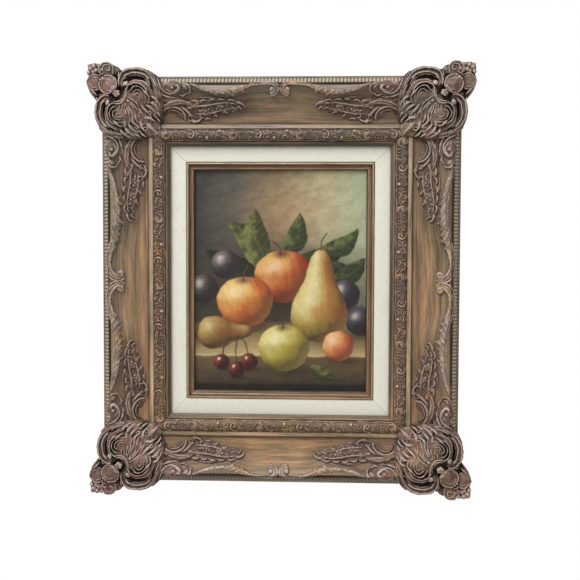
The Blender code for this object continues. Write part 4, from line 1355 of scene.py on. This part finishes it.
RUN_LEAVES = [
    run_line([(9, 4.4), (11.4, 0.6), (15, 2.4), (18.6, 5)], 0.9),
    run_line([(18, -4.8), (19.6, -1), (22.6, 1.4)], 1.0), run_line([(16.6, 1), (20, 3.4), (22.6, 5.2)], 0.8),
    run_line([(33.4, -4.8), (34.4, -1.6), (32.8, 2)], 0.8),
    run_line([(45.4, 5.2), (47.4, 1.6), (50, 3.6)], 0.85),
    run_line([(61, -4.6), (62.6, -0.6), (60.6, 3.4)], 0.9),
    run_line([(63.4, 5.2), (65.4, 2), (69.4, 3.6)], 0.9),
    run_line([(69.6, -4.8), (70.6, -1), (68.6, 1.6)], 0.8),
    run_line([(9.6, -4.6), (8.6, -1.4), (10.6, 1)], 0.75),
    run_line([(50.4, -4.6), (49.6, -1.8), (50.6, 0.6)], 0.7),
]


def scallops(places):
    """Small arches that stand against the strip beside the round."""
    return [run_arc(s, -2.6, radius, 200, 140, 0.55, 1.5) for s, radius in places]


RUN_BEADS += scallops(((0, 3.6), (14.5, 3.2), (28, 3.6), (39.5, 3.2), (55, 3.6), (66, 3.0)))
parts = [strokes("bead", RUN_BEADS, 2), strokes("leaf", RUN_LEAVES, 3)]
RUN_PEARLS = (
    (0, 3.0, 1.9, 1.9), (28, 0, 1.5, 1.5), (56, 0, 1.3, 1.4), (39.5, 3.4, 1.0, 1.4), (14, -1.2, 0.9, 1.2),
    (24.4, 4.6, 0.9, 1.2), (46.6, -1.6, 0.8, 1.2), (66, -1, 0.8, 1.2),
)
for s, v, radius, rise in RUN_PEARLS:
    parts.append(dome(s, RUN_MIDDLE + v, 0.2, radius, rise))
repeat = cast("running_repeat", parts, voxel=0.42, keep=0.22, feet=())


# %% Run it round the frame
def run_along(master, name, side, pitch, start):
    """Repeats a flat drawing along a side and mitres it."""
    length = 2 * half_length(side)
    made = copy_of(master, f"{name}_{side}")
    flat = points_of(made)
    move_points(made, flat + [start, 0, 0])
    count = int((length - 2 * start) / pitch) + 2
    modify(made, "ARRAY", count=count, use_relative_offset=False, use_constant_offset=True,
           constant_offset_displace=(pitch, 0, 0))
    edit(made, *mitre_cuts(length))
    flat = points_of(made)
    lay(made, side_places(side), np.interp(flat[:, 1], face_in, face_high) + flat[:, 2])
    smooth_piece(made)
    return made


for side in SIDES:
    run = run_along(repeat, "running_ornament", side, REPEAT, RUN_START)
    register(run, relief["running"], "moulding", "rail_" + side)
print("running ornament:", triangles(run), "triangles a side")

# %% [markdown]
# ## The fluted edge
# The outer edge is a row of short upright bars. One bar is a sphere stretched to a pill with few faces,
# because it is repeated some three hundred times, and the Array and the mitre cuts do the rest.

# %% Run the fluted edge
FLUTE_PITCH, FLUTE_START, FLUTE_MIDDLE, FLUTE_LIFT = 3.9, 56, 5.3, 0.1
FLUTE_SIZE = (1.8, 2.8, 1.1)  # half its width, length and height
FLUTE_SHAPE = np.array([0.8, 0.6, 0.9])  # powers below 1, which make a ball a rounded block
bpy.ops.mesh.primitive_uv_sphere_add(segments=10, ring_count=6, radius=1,
                                     location=(0, FLUTE_MIDDLE, FLUTE_LIFT))
bar = bpy.context.object
bpy.ops.object.transform_apply(location=True)
flat = points_of(bar)
around = np.array([0, FLUTE_MIDDLE, FLUTE_LIFT])
shape = np.sign(flat - around) * np.abs(flat - around) ** FLUTE_SHAPE
move_points(bar, around + shape * FLUTE_SIZE)
keep_values(bar, "ridge", np.clip(shape[:, 2] * 1.4 - 0.3, 0, 1))
keep_values(bar, "hollow", np.clip(0.9 - shape[:, 2] * 1.8, 0, 1))
for side in SIDES:
    bars = run_along(bar, "fluted_edge", side, FLUTE_PITCH, FLUTE_START)
    # The bottom rail's bars wear the darker copy, a painted shade for an edge that faces down.
    register(bars, relief["fluted_in_shade" if side == "bottom" else "fluted"], "moulding", "rail_" + side)
print("fluted edge:", triangles(bars), "triangles a side")

# %% [markdown]
# ## The linen liner
# The liner is a bevelled length covered in natural linen, which is cut on the mitre like the rest, so its
# weave turns the corner. Threads this fine could never be modelled, so a group draws them as a bump from
# two sets of rounded ridges, and the same group serves the canvas.

# %% Group the weave
weave, given, result = group("weave", {"Along": 0.0, "Across": 0.0, "Pitch": 0.8},
                             {"Height": "Float", "Slub": "Float"})
tree = weave


def threads(tree, over, along, pitch):
    """One set of threads: a rounded ridge every pitch, unevenly thick along its length."""
    drift = noise(tree, stretched(tree, along, over, 9, 0.9), 1, 2)
    phase = maths(tree, "ADD", maths(tree, "DIVIDE", over, pitch), times(tree, drift, 0.5))
    return maths(tree, "ABSOLUTE", maths(tree, "SINE", times(tree, phase, math.pi)))


warp = threads(tree, given["Across"], given["Along"], given["Pitch"])
weft = threads(tree, given["Along"], given["Across"], given["Pitch"])
slub = noise(tree, stretched(tree, given["Along"], given["Across"], 5, 1.2), 1, 3)
give(tree, result, Height=times(tree, warp, weft), Slub=slub)
print("weave:", len(tree.nodes), "nodes")

# %% Finish the linen
LINEN_PITCH = 0.62
LINEN_DARKER_EDGE = (78.0, 76.0)  # plain from here, in from the outer edge, and darker there, next to the lip
linen_finish, tree, shader, place = blank("linen_finish")
woven = place_group(tree, weave, {
    "Along": stored(tree, "along"), "Across": stored(tree, "across"), "Pitch": LINEN_PITCH})
tone = ramp(tree, woven["Slub"], [
    (0.3, (0.765, 0.755, 0.645)), (0.5, (0.81, 0.805, 0.70)), (0.7, (0.85, 0.845, 0.745))])
# Painted shade in the dips between the threads: the tone is darker where the weave is low.
tone = tinted(tree, tone, ramp(tree, woven["Height"], [(0.0, 0.92), (0.35, 1.0), (1.0, 1.02)]))
tone = veil(tree, tone, band(tree, noise(tree, place, 15, 3), 0.55, 0.75), 0.35, (0.72, 0.67, 0.50))
tone = veil(tree, tone, band(tree, noise(tree, place, 480, 1), 0.76, 0.8), 0.5, (0.35, 0.28, 0.18))
tone = veil(tree, tone, band(tree, stored(tree, "across"), *LINEN_DARKER_EDGE), 0.25, (0.50, 0.44, 0.33))
crack = put(tree, "TexVoronoi", {"Vector": place, "Scale": 55}, feature="DISTANCE_TO_EDGE").outputs[0]
cracked = times(tree, band(tree, crack, 0.012, 0.004), band(tree, noise(tree, place, 60, 2), 0.60, 0.66))
mitre = on_mitre(tree, place)
marks = maths(tree, "MAXIMUM", times(tree, cracked, 0.3), times(tree, mitre, 0.75))
tone = blend(tree, marks, tone, (0.20, 0.16, 0.11, 1))
wire(tree, shader, tone, 0.85, woven["Height"], 0.0001, 0.2)
print("linen_finish:", len(tree.nodes), "nodes")

# %% Lay the liner
LINER_START, LINER_BACK, LINER_FACE = REBATE + 0.3, 8.0, 27.0
liner_face = [(LINER_START, LINER_FACE - 0.3), (LINER_START + 1, LINER_FACE),
              (LINER_END - 1.9, LINER_FACE - 0.2)]
liner_roll = arc((LINER_END - 1.6, LINER_FACE - 1.5), (1.3, 1.3), 80, 0, 4)
liner_section = [(LINER_START, LINER_BACK), *liner_face, *liner_roll, (LINER_END - 0.3, LINER_BACK)]
for side in SIDES:
    length = milled("linen_liner_" + side, liner_section, side)
    finish_length(length, side, linen_finish, "linen", "liner_" + side)
print("linen liner laid,", triangles(length), "triangles a side")

# %% [markdown]
# ## The gilt fillet
# The fillet is gilded over brown, and the gilding is rubbed thin on the bead and gone from the groove. It is
# a milled length like the others, with its tones in a ramp across it and a half metallic shine.

# %% Finish the fillet
fillet_finish, tree, shader, place = blank("fillet_finish")
across, grain = rail_grain(tree)
share = maths(tree, "DIVIDE", maths(tree, "SUBTRACT", across, LINER_END), SIGHT - LINER_END)
tone = ramp(tree, share, [
    (0.0, (0.10, 0.068, 0.04)), (0.05, (0.42, 0.31, 0.20)), (0.17, (0.46, 0.33, 0.21)),
    (0.26, (0.16, 0.10, 0.058)), (0.36, (0.17, 0.105, 0.06)), (0.5, (0.21, 0.135, 0.078)),
    (0.6, (0.30, 0.20, 0.12)), (0.76, (0.40, 0.28, 0.17)), (0.84, (0.14, 0.09, 0.05)),
    (1.0, (0.10, 0.065, 0.038))])
tone = tinted(tree, tone, ramp(tree, grain["Streak"], [(0.38, 0.62), (0.5, 1.0), (0.62, 1.35)]))
rubs = band(tree, noise(tree, place, 210, 4, 0.65), 0.54, 0.68)
tone = veil(tree, tone, rubs, 0.35, (0.09, 0.055, 0.03))
tone = veil(tree, tone, on_mitre(tree, place), 0.7, (0.03, 0.02, 0.012))
wire(tree, shader, tone, maths(tree, "MULTIPLY_ADD", rubs, 0.25, 0.36), grain["Fine"], 0.0002, 0.5)
shader.inputs["Metallic"].default_value = 0.35
print("fillet_finish:", len(tree.nodes), "nodes")

# %% Lay the fillet
FILLET_BACK, BEAD_TOP = CANVAS_FACE + 0.4, 26.6
fillet_bead = arc((LINER_END + 1.3, BEAD_TOP), (1.3, 1.4), 180, 0, 8)
fillet_groove = [(LINER_END + 2.7, 25.9), (LINER_END + 3.1, 25.0), (LINER_END + 4.2, 23.9),
                 (LINER_END + 5.2, 23.2)]
fillet_lip = arc((LINER_END + 6.5, 22.9), (1.2, 1.0), 160, 20, 6) + [(SIGHT - 0.5, 22.0), (SIGHT, 20.9)]
fillet_section = [(LINER_END, FILLET_BACK), *fillet_bead, *fillet_groove, *fillet_lip, (SIGHT, FILLET_BACK)]
for side in SIDES:
    length = milled("gilt_fillet_" + side, fillet_section, side)
    finish_length(length, side, fillet_finish, "fillet", "fillet_" + side)
print("fillet laid,", triangles(length), "triangles a side")

# %% [markdown]
# ## Painting the canvas
# The picture is oil on canvas: fruit on a ledge, worked from the ground up. The background goes on first,
# then the leaves, then each fruit from the back to the front, and last the lights. Here the paint is laid
# the same way on the points of a fine grid. Each fruit is a turned solid, so the way its skin faces is
# known everywhere and the light from the upper left can be worked out as a painter judges it.

# %% Mix the paints
def pot(red, green, blue):
    """A paint by its place on a maker's chart, 0 to 255, as linear light."""
    return (np.array((red, green, blue)) / 255) ** 2.2


def pots(row):
    return [pot(*paint) for paint in row]


def clouds(places, wide, high, seed, turn=0.0):
    """Soft patches of brushwork between 0 and 1, the same on every run."""
    chart = np.random.default_rng(seed).random((97, 97))
    turned_places = places @ np.array(((math.cos(turn), -math.sin(turn)), (math.sin(turn), math.cos(turn))))
    cell = turned_places / (wide, high) + 300
    low = np.floor(cell).astype(int)
    share = cell - low
    share = share * share * (3 - 2 * share)
    (x, z), (u, v) = low.T % 96, share.T
    near = chart[z, x] * (1 - u) + chart[z, x + 1] * u
    far = chart[z + 1, x] * (1 - u) + chart[z + 1, x + 1] * u
    return near * (1 - v) + far * v


def blended(shares, *pots):
    """Runs evenly through a row of paints as the share goes from 0 to 1."""
    stops = np.linspace(0, 1, len(pots))
    return np.stack([np.interp(shares, stops, [paint[part] for paint in pots]) for part in range(3)], axis=1)


def cover(paint, share, over):
    share = np.clip(share, 0, 1)[:, None]
    return paint * (1 - share) + over * share


print("a mid grey paint is", pot(128, 128, 128).round(3))

# %% Plan the still life
LIGHT = np.array((-0.50, 0.56, 0.66))
SHINE = np.array((-0.36, 0.40, 0.843))
OUTSIDE, EDGE = -9, 1.2
SKIN = {
    "pear": ((0, 0), (0.03, 0.13), (0.10, 0.225), (0.22, 0.29), (0.36, 0.295), (0.5, 0.25), (0.64, 0.178),
             (0.78, 0.135), (0.9, 0.105), (0.97, 0.06), (1, 0)),
    "apple": ((0, 0), (0.03, 0.19), (0.1, 0.33), (0.25, 0.465), (0.45, 0.535), (0.62, 0.545), (0.8, 0.455),
              (0.92, 0.31), (0.98, 0.15), (1, 0)),
    "round": ((0, 0), (0.03, 0.17), (0.1, 0.3), (0.25, 0.43), (0.5, 0.5), (0.75, 0.43), (0.9, 0.3),
              (0.97, 0.17), (1, 0)),
}
# Kind, foot, top, the paints from shade to light, the blush, how far the blush goes and how glossy it is.
FRUIT = (
    ("round", (-58, 2), (-63, 34), ((22, 20, 22), (48, 42, 46), (112, 104, 108)), (74, 40, 36), .4, .5),
    ("round", (-86, -26), (-83, 7), ((20, 18, 20), (44, 40, 42), (100, 92, 96)), (70, 40, 34), .4, .45),
    ("round", (66, -30), (77, 1), ((20, 19, 22), (40, 39, 46), (92, 92, 104)), (60, 34, 34), .3, .5),
    ("round", (86, -60), (90, -29), ((20, 18, 22), (38, 36, 42), (84, 82, 96)), (54, 30, 32), .3, .45),
    ("apple", (6, -24), (1, 34), ((76, 32, 14), (178, 94, 46), (226, 178, 104)), (168, 52, 28), .75, .35),
    ("pear", (42, -68), (45, 36), ((56, 44, 18), (152, 128, 58), (220, 204, 132)), (176, 84, 42), .55, .3),
    ("apple", (-37, -52), (-41, 5), ((88, 38, 16), (196, 118, 54), (236, 200, 122)), (186, 70, 34), .6, .4),
    ("pear", (-92, -58), (-30, -56), ((52, 38, 20), (132, 100, 52), (194, 166, 104)),
     (136, 76, 38), .4, .25),
    ("apple", (6, -100), (3, -48), ((62, 56, 18), (162, 148, 62), (226, 218, 140)), (190, 140, 70), .3, .45),
    ("round", (66, -89), (62, -55), ((96, 44, 22), (198, 122, 70), (238, 196, 134)), (186, 70, 44), .6, .35),
    ("round", (-66, -99), (-64, -81), ((28, 10, 10), (76, 24, 24), (136, 60, 52)), (40, 16, 22), .5, .9),
    ("round", (-49, -108), (-48, -89), ((26, 10, 10), (70, 22, 22), (130, 56, 48)), (36, 16, 24), .5, .9),
    ("round", (-33, -99), (-35, -80), ((28, 10, 12), (80, 28, 24), (146, 68, 54)), (44, 16, 22), .5, .9),
)
# Foot, tip, how far it bends, half its width, and the paints of its darker and lighter half.
LEAVES = (
    ((-20, 12), (-84, 34), -.1, 13, (34, 38, 24), (54, 58, 36)),
    ((14, 18), (72, 40), .1, 14, (32, 36, 22), (56, 60, 34)),
    ((30, -10), (90, 10), -.1, 17, (36, 42, 26), (70, 76, 44)),
    ((-24, 14), (-58, 66), .16, 14, (66, 70, 38), (130, 134, 74)),
    ((-14, 22), (-28, 80), -.12, 14, (60, 64, 34), (120, 124, 66)),
    ((0, 26), (22, 76), .14, 12, (52, 60, 32), (104, 110, 60)),
    ((45, 36), (86, 58), .2, 11, (50, 60, 34), (114, 120, 64)),
    ((60, 2), (94, 26), .12, 11, (44, 54, 30), (92, 100, 54)),
    ((34, -94), (66, -106), .15, 8, (50, 54, 28), (112, 112, 60)),
)
STALKS = (
    ((45, 34), (46, 45), (51, 53)), ((-41, 0), (-40, 9), (-35, 17)), ((1, 29), (-1, 38), (-8, 44)),
    ((3, -53), (5, -44), (11, -38)), ((-31, -56), (-24, -54), (-19, -48)),
    ((-64, -82), (-60, -68), (-47, -61)), ((-48, -90), (-49, -75), (-47, -61)),
    ((-35, -81), (-39, -68), (-47, -61)),
)
print(len(FRUIT), "fruits,", len(LEAVES), "leaves and", len(STALKS), "stalks planned")


# %% Paint one fruit or one leaf
def placed(places, foot, top):
    """How far along and across the line from foot to top each place lies."""
    axis = np.subtract(top, foot) / math.dist(foot, top)
    away = places - foot
    return away @ axis, away @ np.array((axis[1], -axis[0])), axis


def add_fruit(paint, places, kind, foot, top, tones, blush, blushed, gloss):
    tones, blush = pots(tones), pot(*blush)
    along, across, axis = placed(places, foot, top)
    tall = math.dist(foot, top)
    shape = smooth(SKIN[kind], 10) * tall
    lean = np.gradient(shape[:, 1]) / np.maximum(np.gradient(shape[:, 0]), 1e-3)
    wide = np.interp(along, shape[:, 0], shape[:, 1])
    slope = np.clip(np.interp(along, shape[:, 0], lean), -5, 5)
    inside = (wide - np.abs(across)) / np.hypot(1, slope)
    inside = np.where((along > 0) & (along < tall), inside, OUTSIDE)
    round_on = np.clip(across / np.maximum(wide, 0.1), -1, 1)
    facing = np.stack([round_on, -slope, np.sqrt(1 - round_on**2)], axis=1)
    facing /= np.linalg.norm(facing, axis=1)[:, None]
    facing[:, :2] = facing[:, :1] * (axis[1], -axis[0]) + facing[:, 1:2] * axis
    lit = np.clip(facing @ LIGHT + 0.10 * (clouds(places, 3, 7, 3, 0.5) - 0.5), 0, 1)
    body = blended(0.03 + 0.97 * lit**1.05, *tones)
    warm = clouds(places, 13, 17, 5) + 0.9 * facing @ np.array((0.65, -0.1, -0.2))
    streak = 0.5 * clouds(np.stack([round_on * 9, along / tall * 3], axis=1), 0.5, 1.4, 9)
    body = cover(body, blushed * 1.5 * (warm + streak - 0.35), blush * (0.35 + 0.9 * lit[:, None]))
    body = cover(body, 0.25 * np.clip(facing @ np.array((0.75, -0.55, 0.05)), 0, 1) ** 2, tones[2] * 0.6)
    if kind != "round":
        dip = np.hypot(across / (0.16 * tall), (along - 0.93 * tall) / (0.09 * tall))
        body = cover(body, 0.75 * np.clip(1.3 - dip, 0, 1) * (kind == "apple"), tones[0] * 0.8)
    shine = np.clip(facing @ SHINE, 0, 1)
    body = cover(body, gloss * (shine ** (90 if gloss > 0.6 else 28)), pot(246, 238, 214))
    return cover(paint, inside / EDGE + 0.4, body)


def add_leaf(paint, places, foot, tip, bend, half, dark, light):
    dark, light = pots((dark, light))
    along, across, _ = placed(places, foot, tip)
    share = along / math.dist(foot, tip)
    inner = np.clip(share, 0, 1)
    across = across - bend * math.dist(foot, tip) * np.sin(math.pi * inner)
    wide = half * np.sin(math.pi * inner**0.85) ** 0.85 + 0.4 * np.abs((inner * 17) % 1 - 0.5)
    rib = np.abs((inner * 7 - np.abs(across) / half * 1.5) % 1 - 0.5)
    patches = clouds(places, 7, 6, 8) + 0.4 * clouds(places, 2, 2, 11)
    tone = 0.42 - 0.45 * across / np.maximum(wide, 1) + 0.8 * (patches - 0.7) + 0.35 * (rib - 0.25)
    body = cover(blended(np.clip(tone, 0, 1), dark * 0.6, dark, light), 0.3 - 2 * rib, light)
    body = cover(body, (0.75 - np.abs(across) / 0.9) * 0.7, light * 1.15)
    inside = np.where((share > 0) & (share < 1), wide - np.abs(across), OUTSIDE)
    return cover(paint, inside / EDGE + 0.4, body)


print("an edge of paint is", EDGE, "mm soft")


# %% Paint the still life
TABLE_BACK, TABLE_EDGE = -44, -82.5  # up from the middle of the canvas, in mm
# The paints of the ground from left to right, and of the table from its edge to its back.
UPPER_GROUND = ((56, 55, 50), (84, 81, 73), (128, 112, 86), (178, 170, 134), (164, 174, 144))
LOWER_GROUND = ((56, 53, 44), (66, 58, 44), (72, 62, 44), (70, 66, 44), (66, 64, 46))
TABLE_TOP = ((196, 172, 122), (160, 132, 88), (120, 96, 62))
TABLE_FRONT = ((52, 44, 34), (84, 70, 50), (104, 86, 60))


def still_life(places):
    """The colour of the paint at each place, in mm right of and up from the middle of the canvas."""
    drift = np.stack([clouds(places, 6, 6, 12), clouds(places, 6, 6, 13)], axis=1)
    places = places + 1.4 * (drift - 0.5)
    x, z = places.T
    brushed = 0.55 * clouds(places, 9, 5, 1, 0.3) + 0.3 * clouds(places, 3.2, 1.4, 2, 0.2)
    brushed = brushed + 0.15 * clouds(places, 1.5, 1.2, 4)
    across = np.clip((x + 96) / 192 + 0.10 * (brushed - 0.5), 0, 1)
    upper = blended(across, *pots(UPPER_GROUND))
    lower = blended(across, *pots(LOWER_GROUND))
    rise = np.clip((z + 34 + 34 * (across - 0.5)) / 92, 0, 1)
    paint = lower * (1 - rise[:, None]) + upper * rise[:, None]
    glow = np.exp(-((x - 10) / 46) ** 2 - ((z - 74) / 34) ** 2)
    paint = cover(paint, 0.45 * glow, pot(182, 146, 104)) * (0.80 + 0.4 * brushed[:, None])
    ledge = blended(np.clip((z + 82) / 40 + 0.25 * (brushed - 0.5), 0, 1), *pots(TABLE_TOP))
    ledge *= (0.62 + 0.45 * np.clip((x + 110) / 120, 0, 1))[:, None]
    paint = cover(paint, (TABLE_BACK - z) / 5, ledge)
    front = blended(np.clip((z + 116) / 34 + 0.4 * (brushed - 0.5), 0, 1), *pots(TABLE_FRONT))
    paint = cover(paint, (TABLE_EDGE - z) / 1.6, front)
    paint = cover(paint, 0.5 * np.exp(-(((z - TABLE_EDGE) / 1.3) ** 2)), pot(214, 194, 146))
    paint = cover(paint, (-113 - z) / 2.5, pot(26, 24, 21))
    deep = np.exp(-(((x - 16) / 66) ** 4) - ((z + 4) / 38) ** 2)
    paint = cover(paint, 1.1 * deep * (z > TABLE_BACK), pot(34, 32, 24))
    for foot, tip, *rest in LEAVES[:-1]:
        paint = add_leaf(paint, places, foot, tip, *rest)
    for kind, foot, top, *rest in FRUIT:
        reach = 0.5 * math.dist(foot, top)
        floor_z = min(foot[1], top[1] - 0.25 * reach) + 0.05 * reach
        beside = (x - foot[0] - 0.35 * reach) / (1.05 * reach)
        shade = np.exp(-(beside ** 2) - ((z - floor_z) / (0.32 * reach)) ** 2)
        paint = cover(paint, 0.75 * shade * (z < -26), pot(44, 32, 20))
        paint = add_fruit(paint, places, kind, foot, top, *rest)
    paint = add_leaf(paint, places, *LEAVES[-1])
    for stalk in STALKS:
        line = smooth(stalk, 24)
        near = np.min([np.hypot(x - a, z - b) for a, b in line], axis=0)
        paint = cover(paint, 1.2 - near / 1.1, pot(70, 54, 34))
    return np.clip(paint * (0.93 + 0.14 * clouds(places, 1.1, 1.0, 6)[:, None]), 0, 1)


print("paint at the middle:", still_life(np.zeros((1, 2)))[0].round(2))

# %% [markdown]
# ## The canvas
# A canvas is cloth pulled flat over its bars. One fine grid carries the paint and its thickness, since each
# of its points keeps one colour. Its rim is extruded back for the edges, and one plain face closes the back.

# %% Stretch the canvas
PAINT_CELL, CLOTH = 0.9, 0.9  # of the grid that carries the paint, and how thick the cloth is, in mm
WALL = 0.1


def walled(made):
    """Gives an open grid four edges and one flat back."""
    only(made)
    bpy.ops.object.mode_set(mode="EDIT")
    bpy.ops.mesh.select_mode(type="EDGE")
    bpy.ops.mesh.select_all(action="SELECT")
    bpy.ops.mesh.region_to_loop()
    bpy.ops.mesh.extrude_edges_move(TRANSFORM_OT_translate={"value": (0, 0, -WALL)})
    bpy.ops.mesh.edge_face_add()
    bpy.ops.mesh.select_mode(type="VERT")
    bpy.ops.object.mode_set(mode="OBJECT")


canvas_low, canvas_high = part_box("canvas")
wide, tall = (canvas_high.x - canvas_low.x) / MM, (canvas_high.z - canvas_low.z) / MM
bpy.ops.mesh.primitive_grid_add(x_subdivisions=round(wide / PAINT_CELL),
                                y_subdivisions=round(tall / PAINT_CELL), size=1, location=(0, 0, 0))
canvas = bpy.context.object
canvas.name = canvas.data.name = "painted_canvas"
walled(canvas)
print(f"canvas of {wide:.1f} by {tall:.1f} mm stretched")

# %% Lay the paint on
IMPASTO = 0.08
flat = points_of(canvas)
front = flat[:, 2] > -WALL / 2
flat[:, :2] *= (wide, tall)
colours = still_life(flat[:, :2])
colours[~front] = pot(196, 178, 142)
impasto = 0.12 * (clouds(flat[:, :2], 2.6, 1.5, 21, 0.4) - 0.5) + 0.10 * colours.mean(axis=1)
deep = np.where(front, CANVAS_FACE + np.clip(impasto, -IMPASTO, IMPASTO), CANVAS_FACE - CLOTH)
middle_z = (canvas_low.z + canvas_high.z) / 2
middle_x = (canvas_low.x + canvas_high.x) / 2
move_points(canvas, np.column_stack([middle_x + flat[:, 0] * MM, -deep * MM, middle_z + flat[:, 1] * MM]))
edit(canvas, (bpy.ops.mesh.normals_make_consistent, {}))
paint = canvas.data.color_attributes.new("paint", "FLOAT_COLOR", "POINT")
paint.data.foreach_set("color", np.column_stack([colours, np.ones(len(colours))]).ravel())
smooth_piece(canvas)
print("mean colour of the paint:", colours[front].mean(axis=0).round(2))

# %% [markdown]
# ## The skin of the paint
# The colour is stored on the points. Brush marks and the weave below them are far finer, so the material adds
# both as a small change of tone and a bump, under a dull varnish. The weave's change of tone is a painted
# shade in the dips between its threads.

# %% Finish the paint
PAINTED_PITCH = 0.9
painted_finish, tree, shader, place = blank("painted_finish")
laid_on = put(tree, "Attribute", attribute_name="paint").outputs["Color"]
split = put(tree, "SeparateXYZ", {0: place}).outputs
cloth = place_group(tree, weave, {
    "Along": times(tree, split[0], 1 / MM), "Across": times(tree, split[2], 1 / MM), "Pitch": PAINTED_PITCH})
brush_way = put(tree, "Mapping", {"Vector": place, "Scale": (900, 900, 2600), "Rotation": (0, 0.5, 0)})
bristle = noise(tree, brush_way.outputs[0], 1, 3, 0.6)
toned = tinted(tree, laid_on, ramp(tree, bristle, [(0.3, 0.84), (0.5, 1.0), (0.7, 1.16)]))
# Painted shade in the dips of the weave: the paint is darker where the cloth is low.
toned = tinted(tree, toned, ramp(tree, cloth["Height"], [(0.0, 0.84), (0.4, 1.0), (1.0, 1.05)]))
wire(tree, shader, toned, maths(tree, "MULTIPLY_ADD", bristle, 0.25, 0.36),
     maths(tree, "ADD", cloth["Height"], bristle), 0.00012, 0.45)
register(canvas, painted_finish, "canvas", "canvas")
print("canvas:", triangles(canvas), "triangles")

# %% [markdown]
# ## Bare wood and steel
# Behind the canvas everything is left as it came: planed pine stretcher bars, a stamped hanger plate with
# its two nails. The solids themselves are good enough here, so they only get their materials.

# %% Finish the wood
def pine(name, grain):
    """Planed softwood. Grain is the scale along X, Y and Z, least along the bar."""
    made, tree, shader, place = blank(name)
    figure = noise(tree, put(tree, "Mapping", {"Vector": place, "Scale": grain}).outputs[0], 1, 4, 0.6)
    toned = ramp(tree, figure, [
        (0.3, (0.30, 0.195, 0.105)), (0.5, (0.44, 0.31, 0.18)), (0.7, (0.52, 0.39, 0.245))])
    toned = veil(tree, toned, band(tree, noise(tree, place, 40, 3), 0.45, 0.7), 0.45, (0.24, 0.17, 0.11))
    wire(tree, shader, toned, 0.7, figure, 0.0002, 0.3)
    return made


def finish_solid(name, material):
    solid = bpy.data.objects[name]
    solid.data.materials.clear()
    solid.data.materials.append(material)


upright_pine, level_pine = pine("upright_pine", (320, 320, 14)), pine("level_pine", (14, 320, 320))
for side in SIDES:
    finish_solid("stretcher_" + side, level_pine if side in ("top", "bottom") else upright_pine)
print("pine given to", len(SIDES), "stretcher bars")

# %% Finish the steel
steel, tree, shader, place = blank("dull_steel")
tarnish = noise(tree, place, 260, 4, 0.6)
toned = ramp(tree, tarnish, [(0.35, (0.30, 0.29, 0.27)), (0.6, (0.48, 0.47, 0.45))])
rust = band(tree, noise(tree, place, 520, 3, 0.6), 0.62, 0.74)
toned = veil(tree, toned, rust, 0.5, (0.20, 0.11, 0.06))
wire(tree, shader, toned, maths(tree, "MULTIPLY_ADD", tarnish, 0.3, 0.3), tarnish, 0.00005, 0.5)
shader.inputs["Metallic"].default_value = 0.9
STEEL_SOLIDS = ("hanger", "hanger_nail_left", "hanger_nail_right")
for name in STEEL_SOLIDS:
    finish_solid(name, steel)
print("steel given to", len(STEEL_SOLIDS), "solids")

# %% Remove the helpers
for helper in [cartouche, spray, rolled_leaf, repeat, bar, *ribs.values(), *gouges.values()]:
    bpy.data.objects.remove(helper)
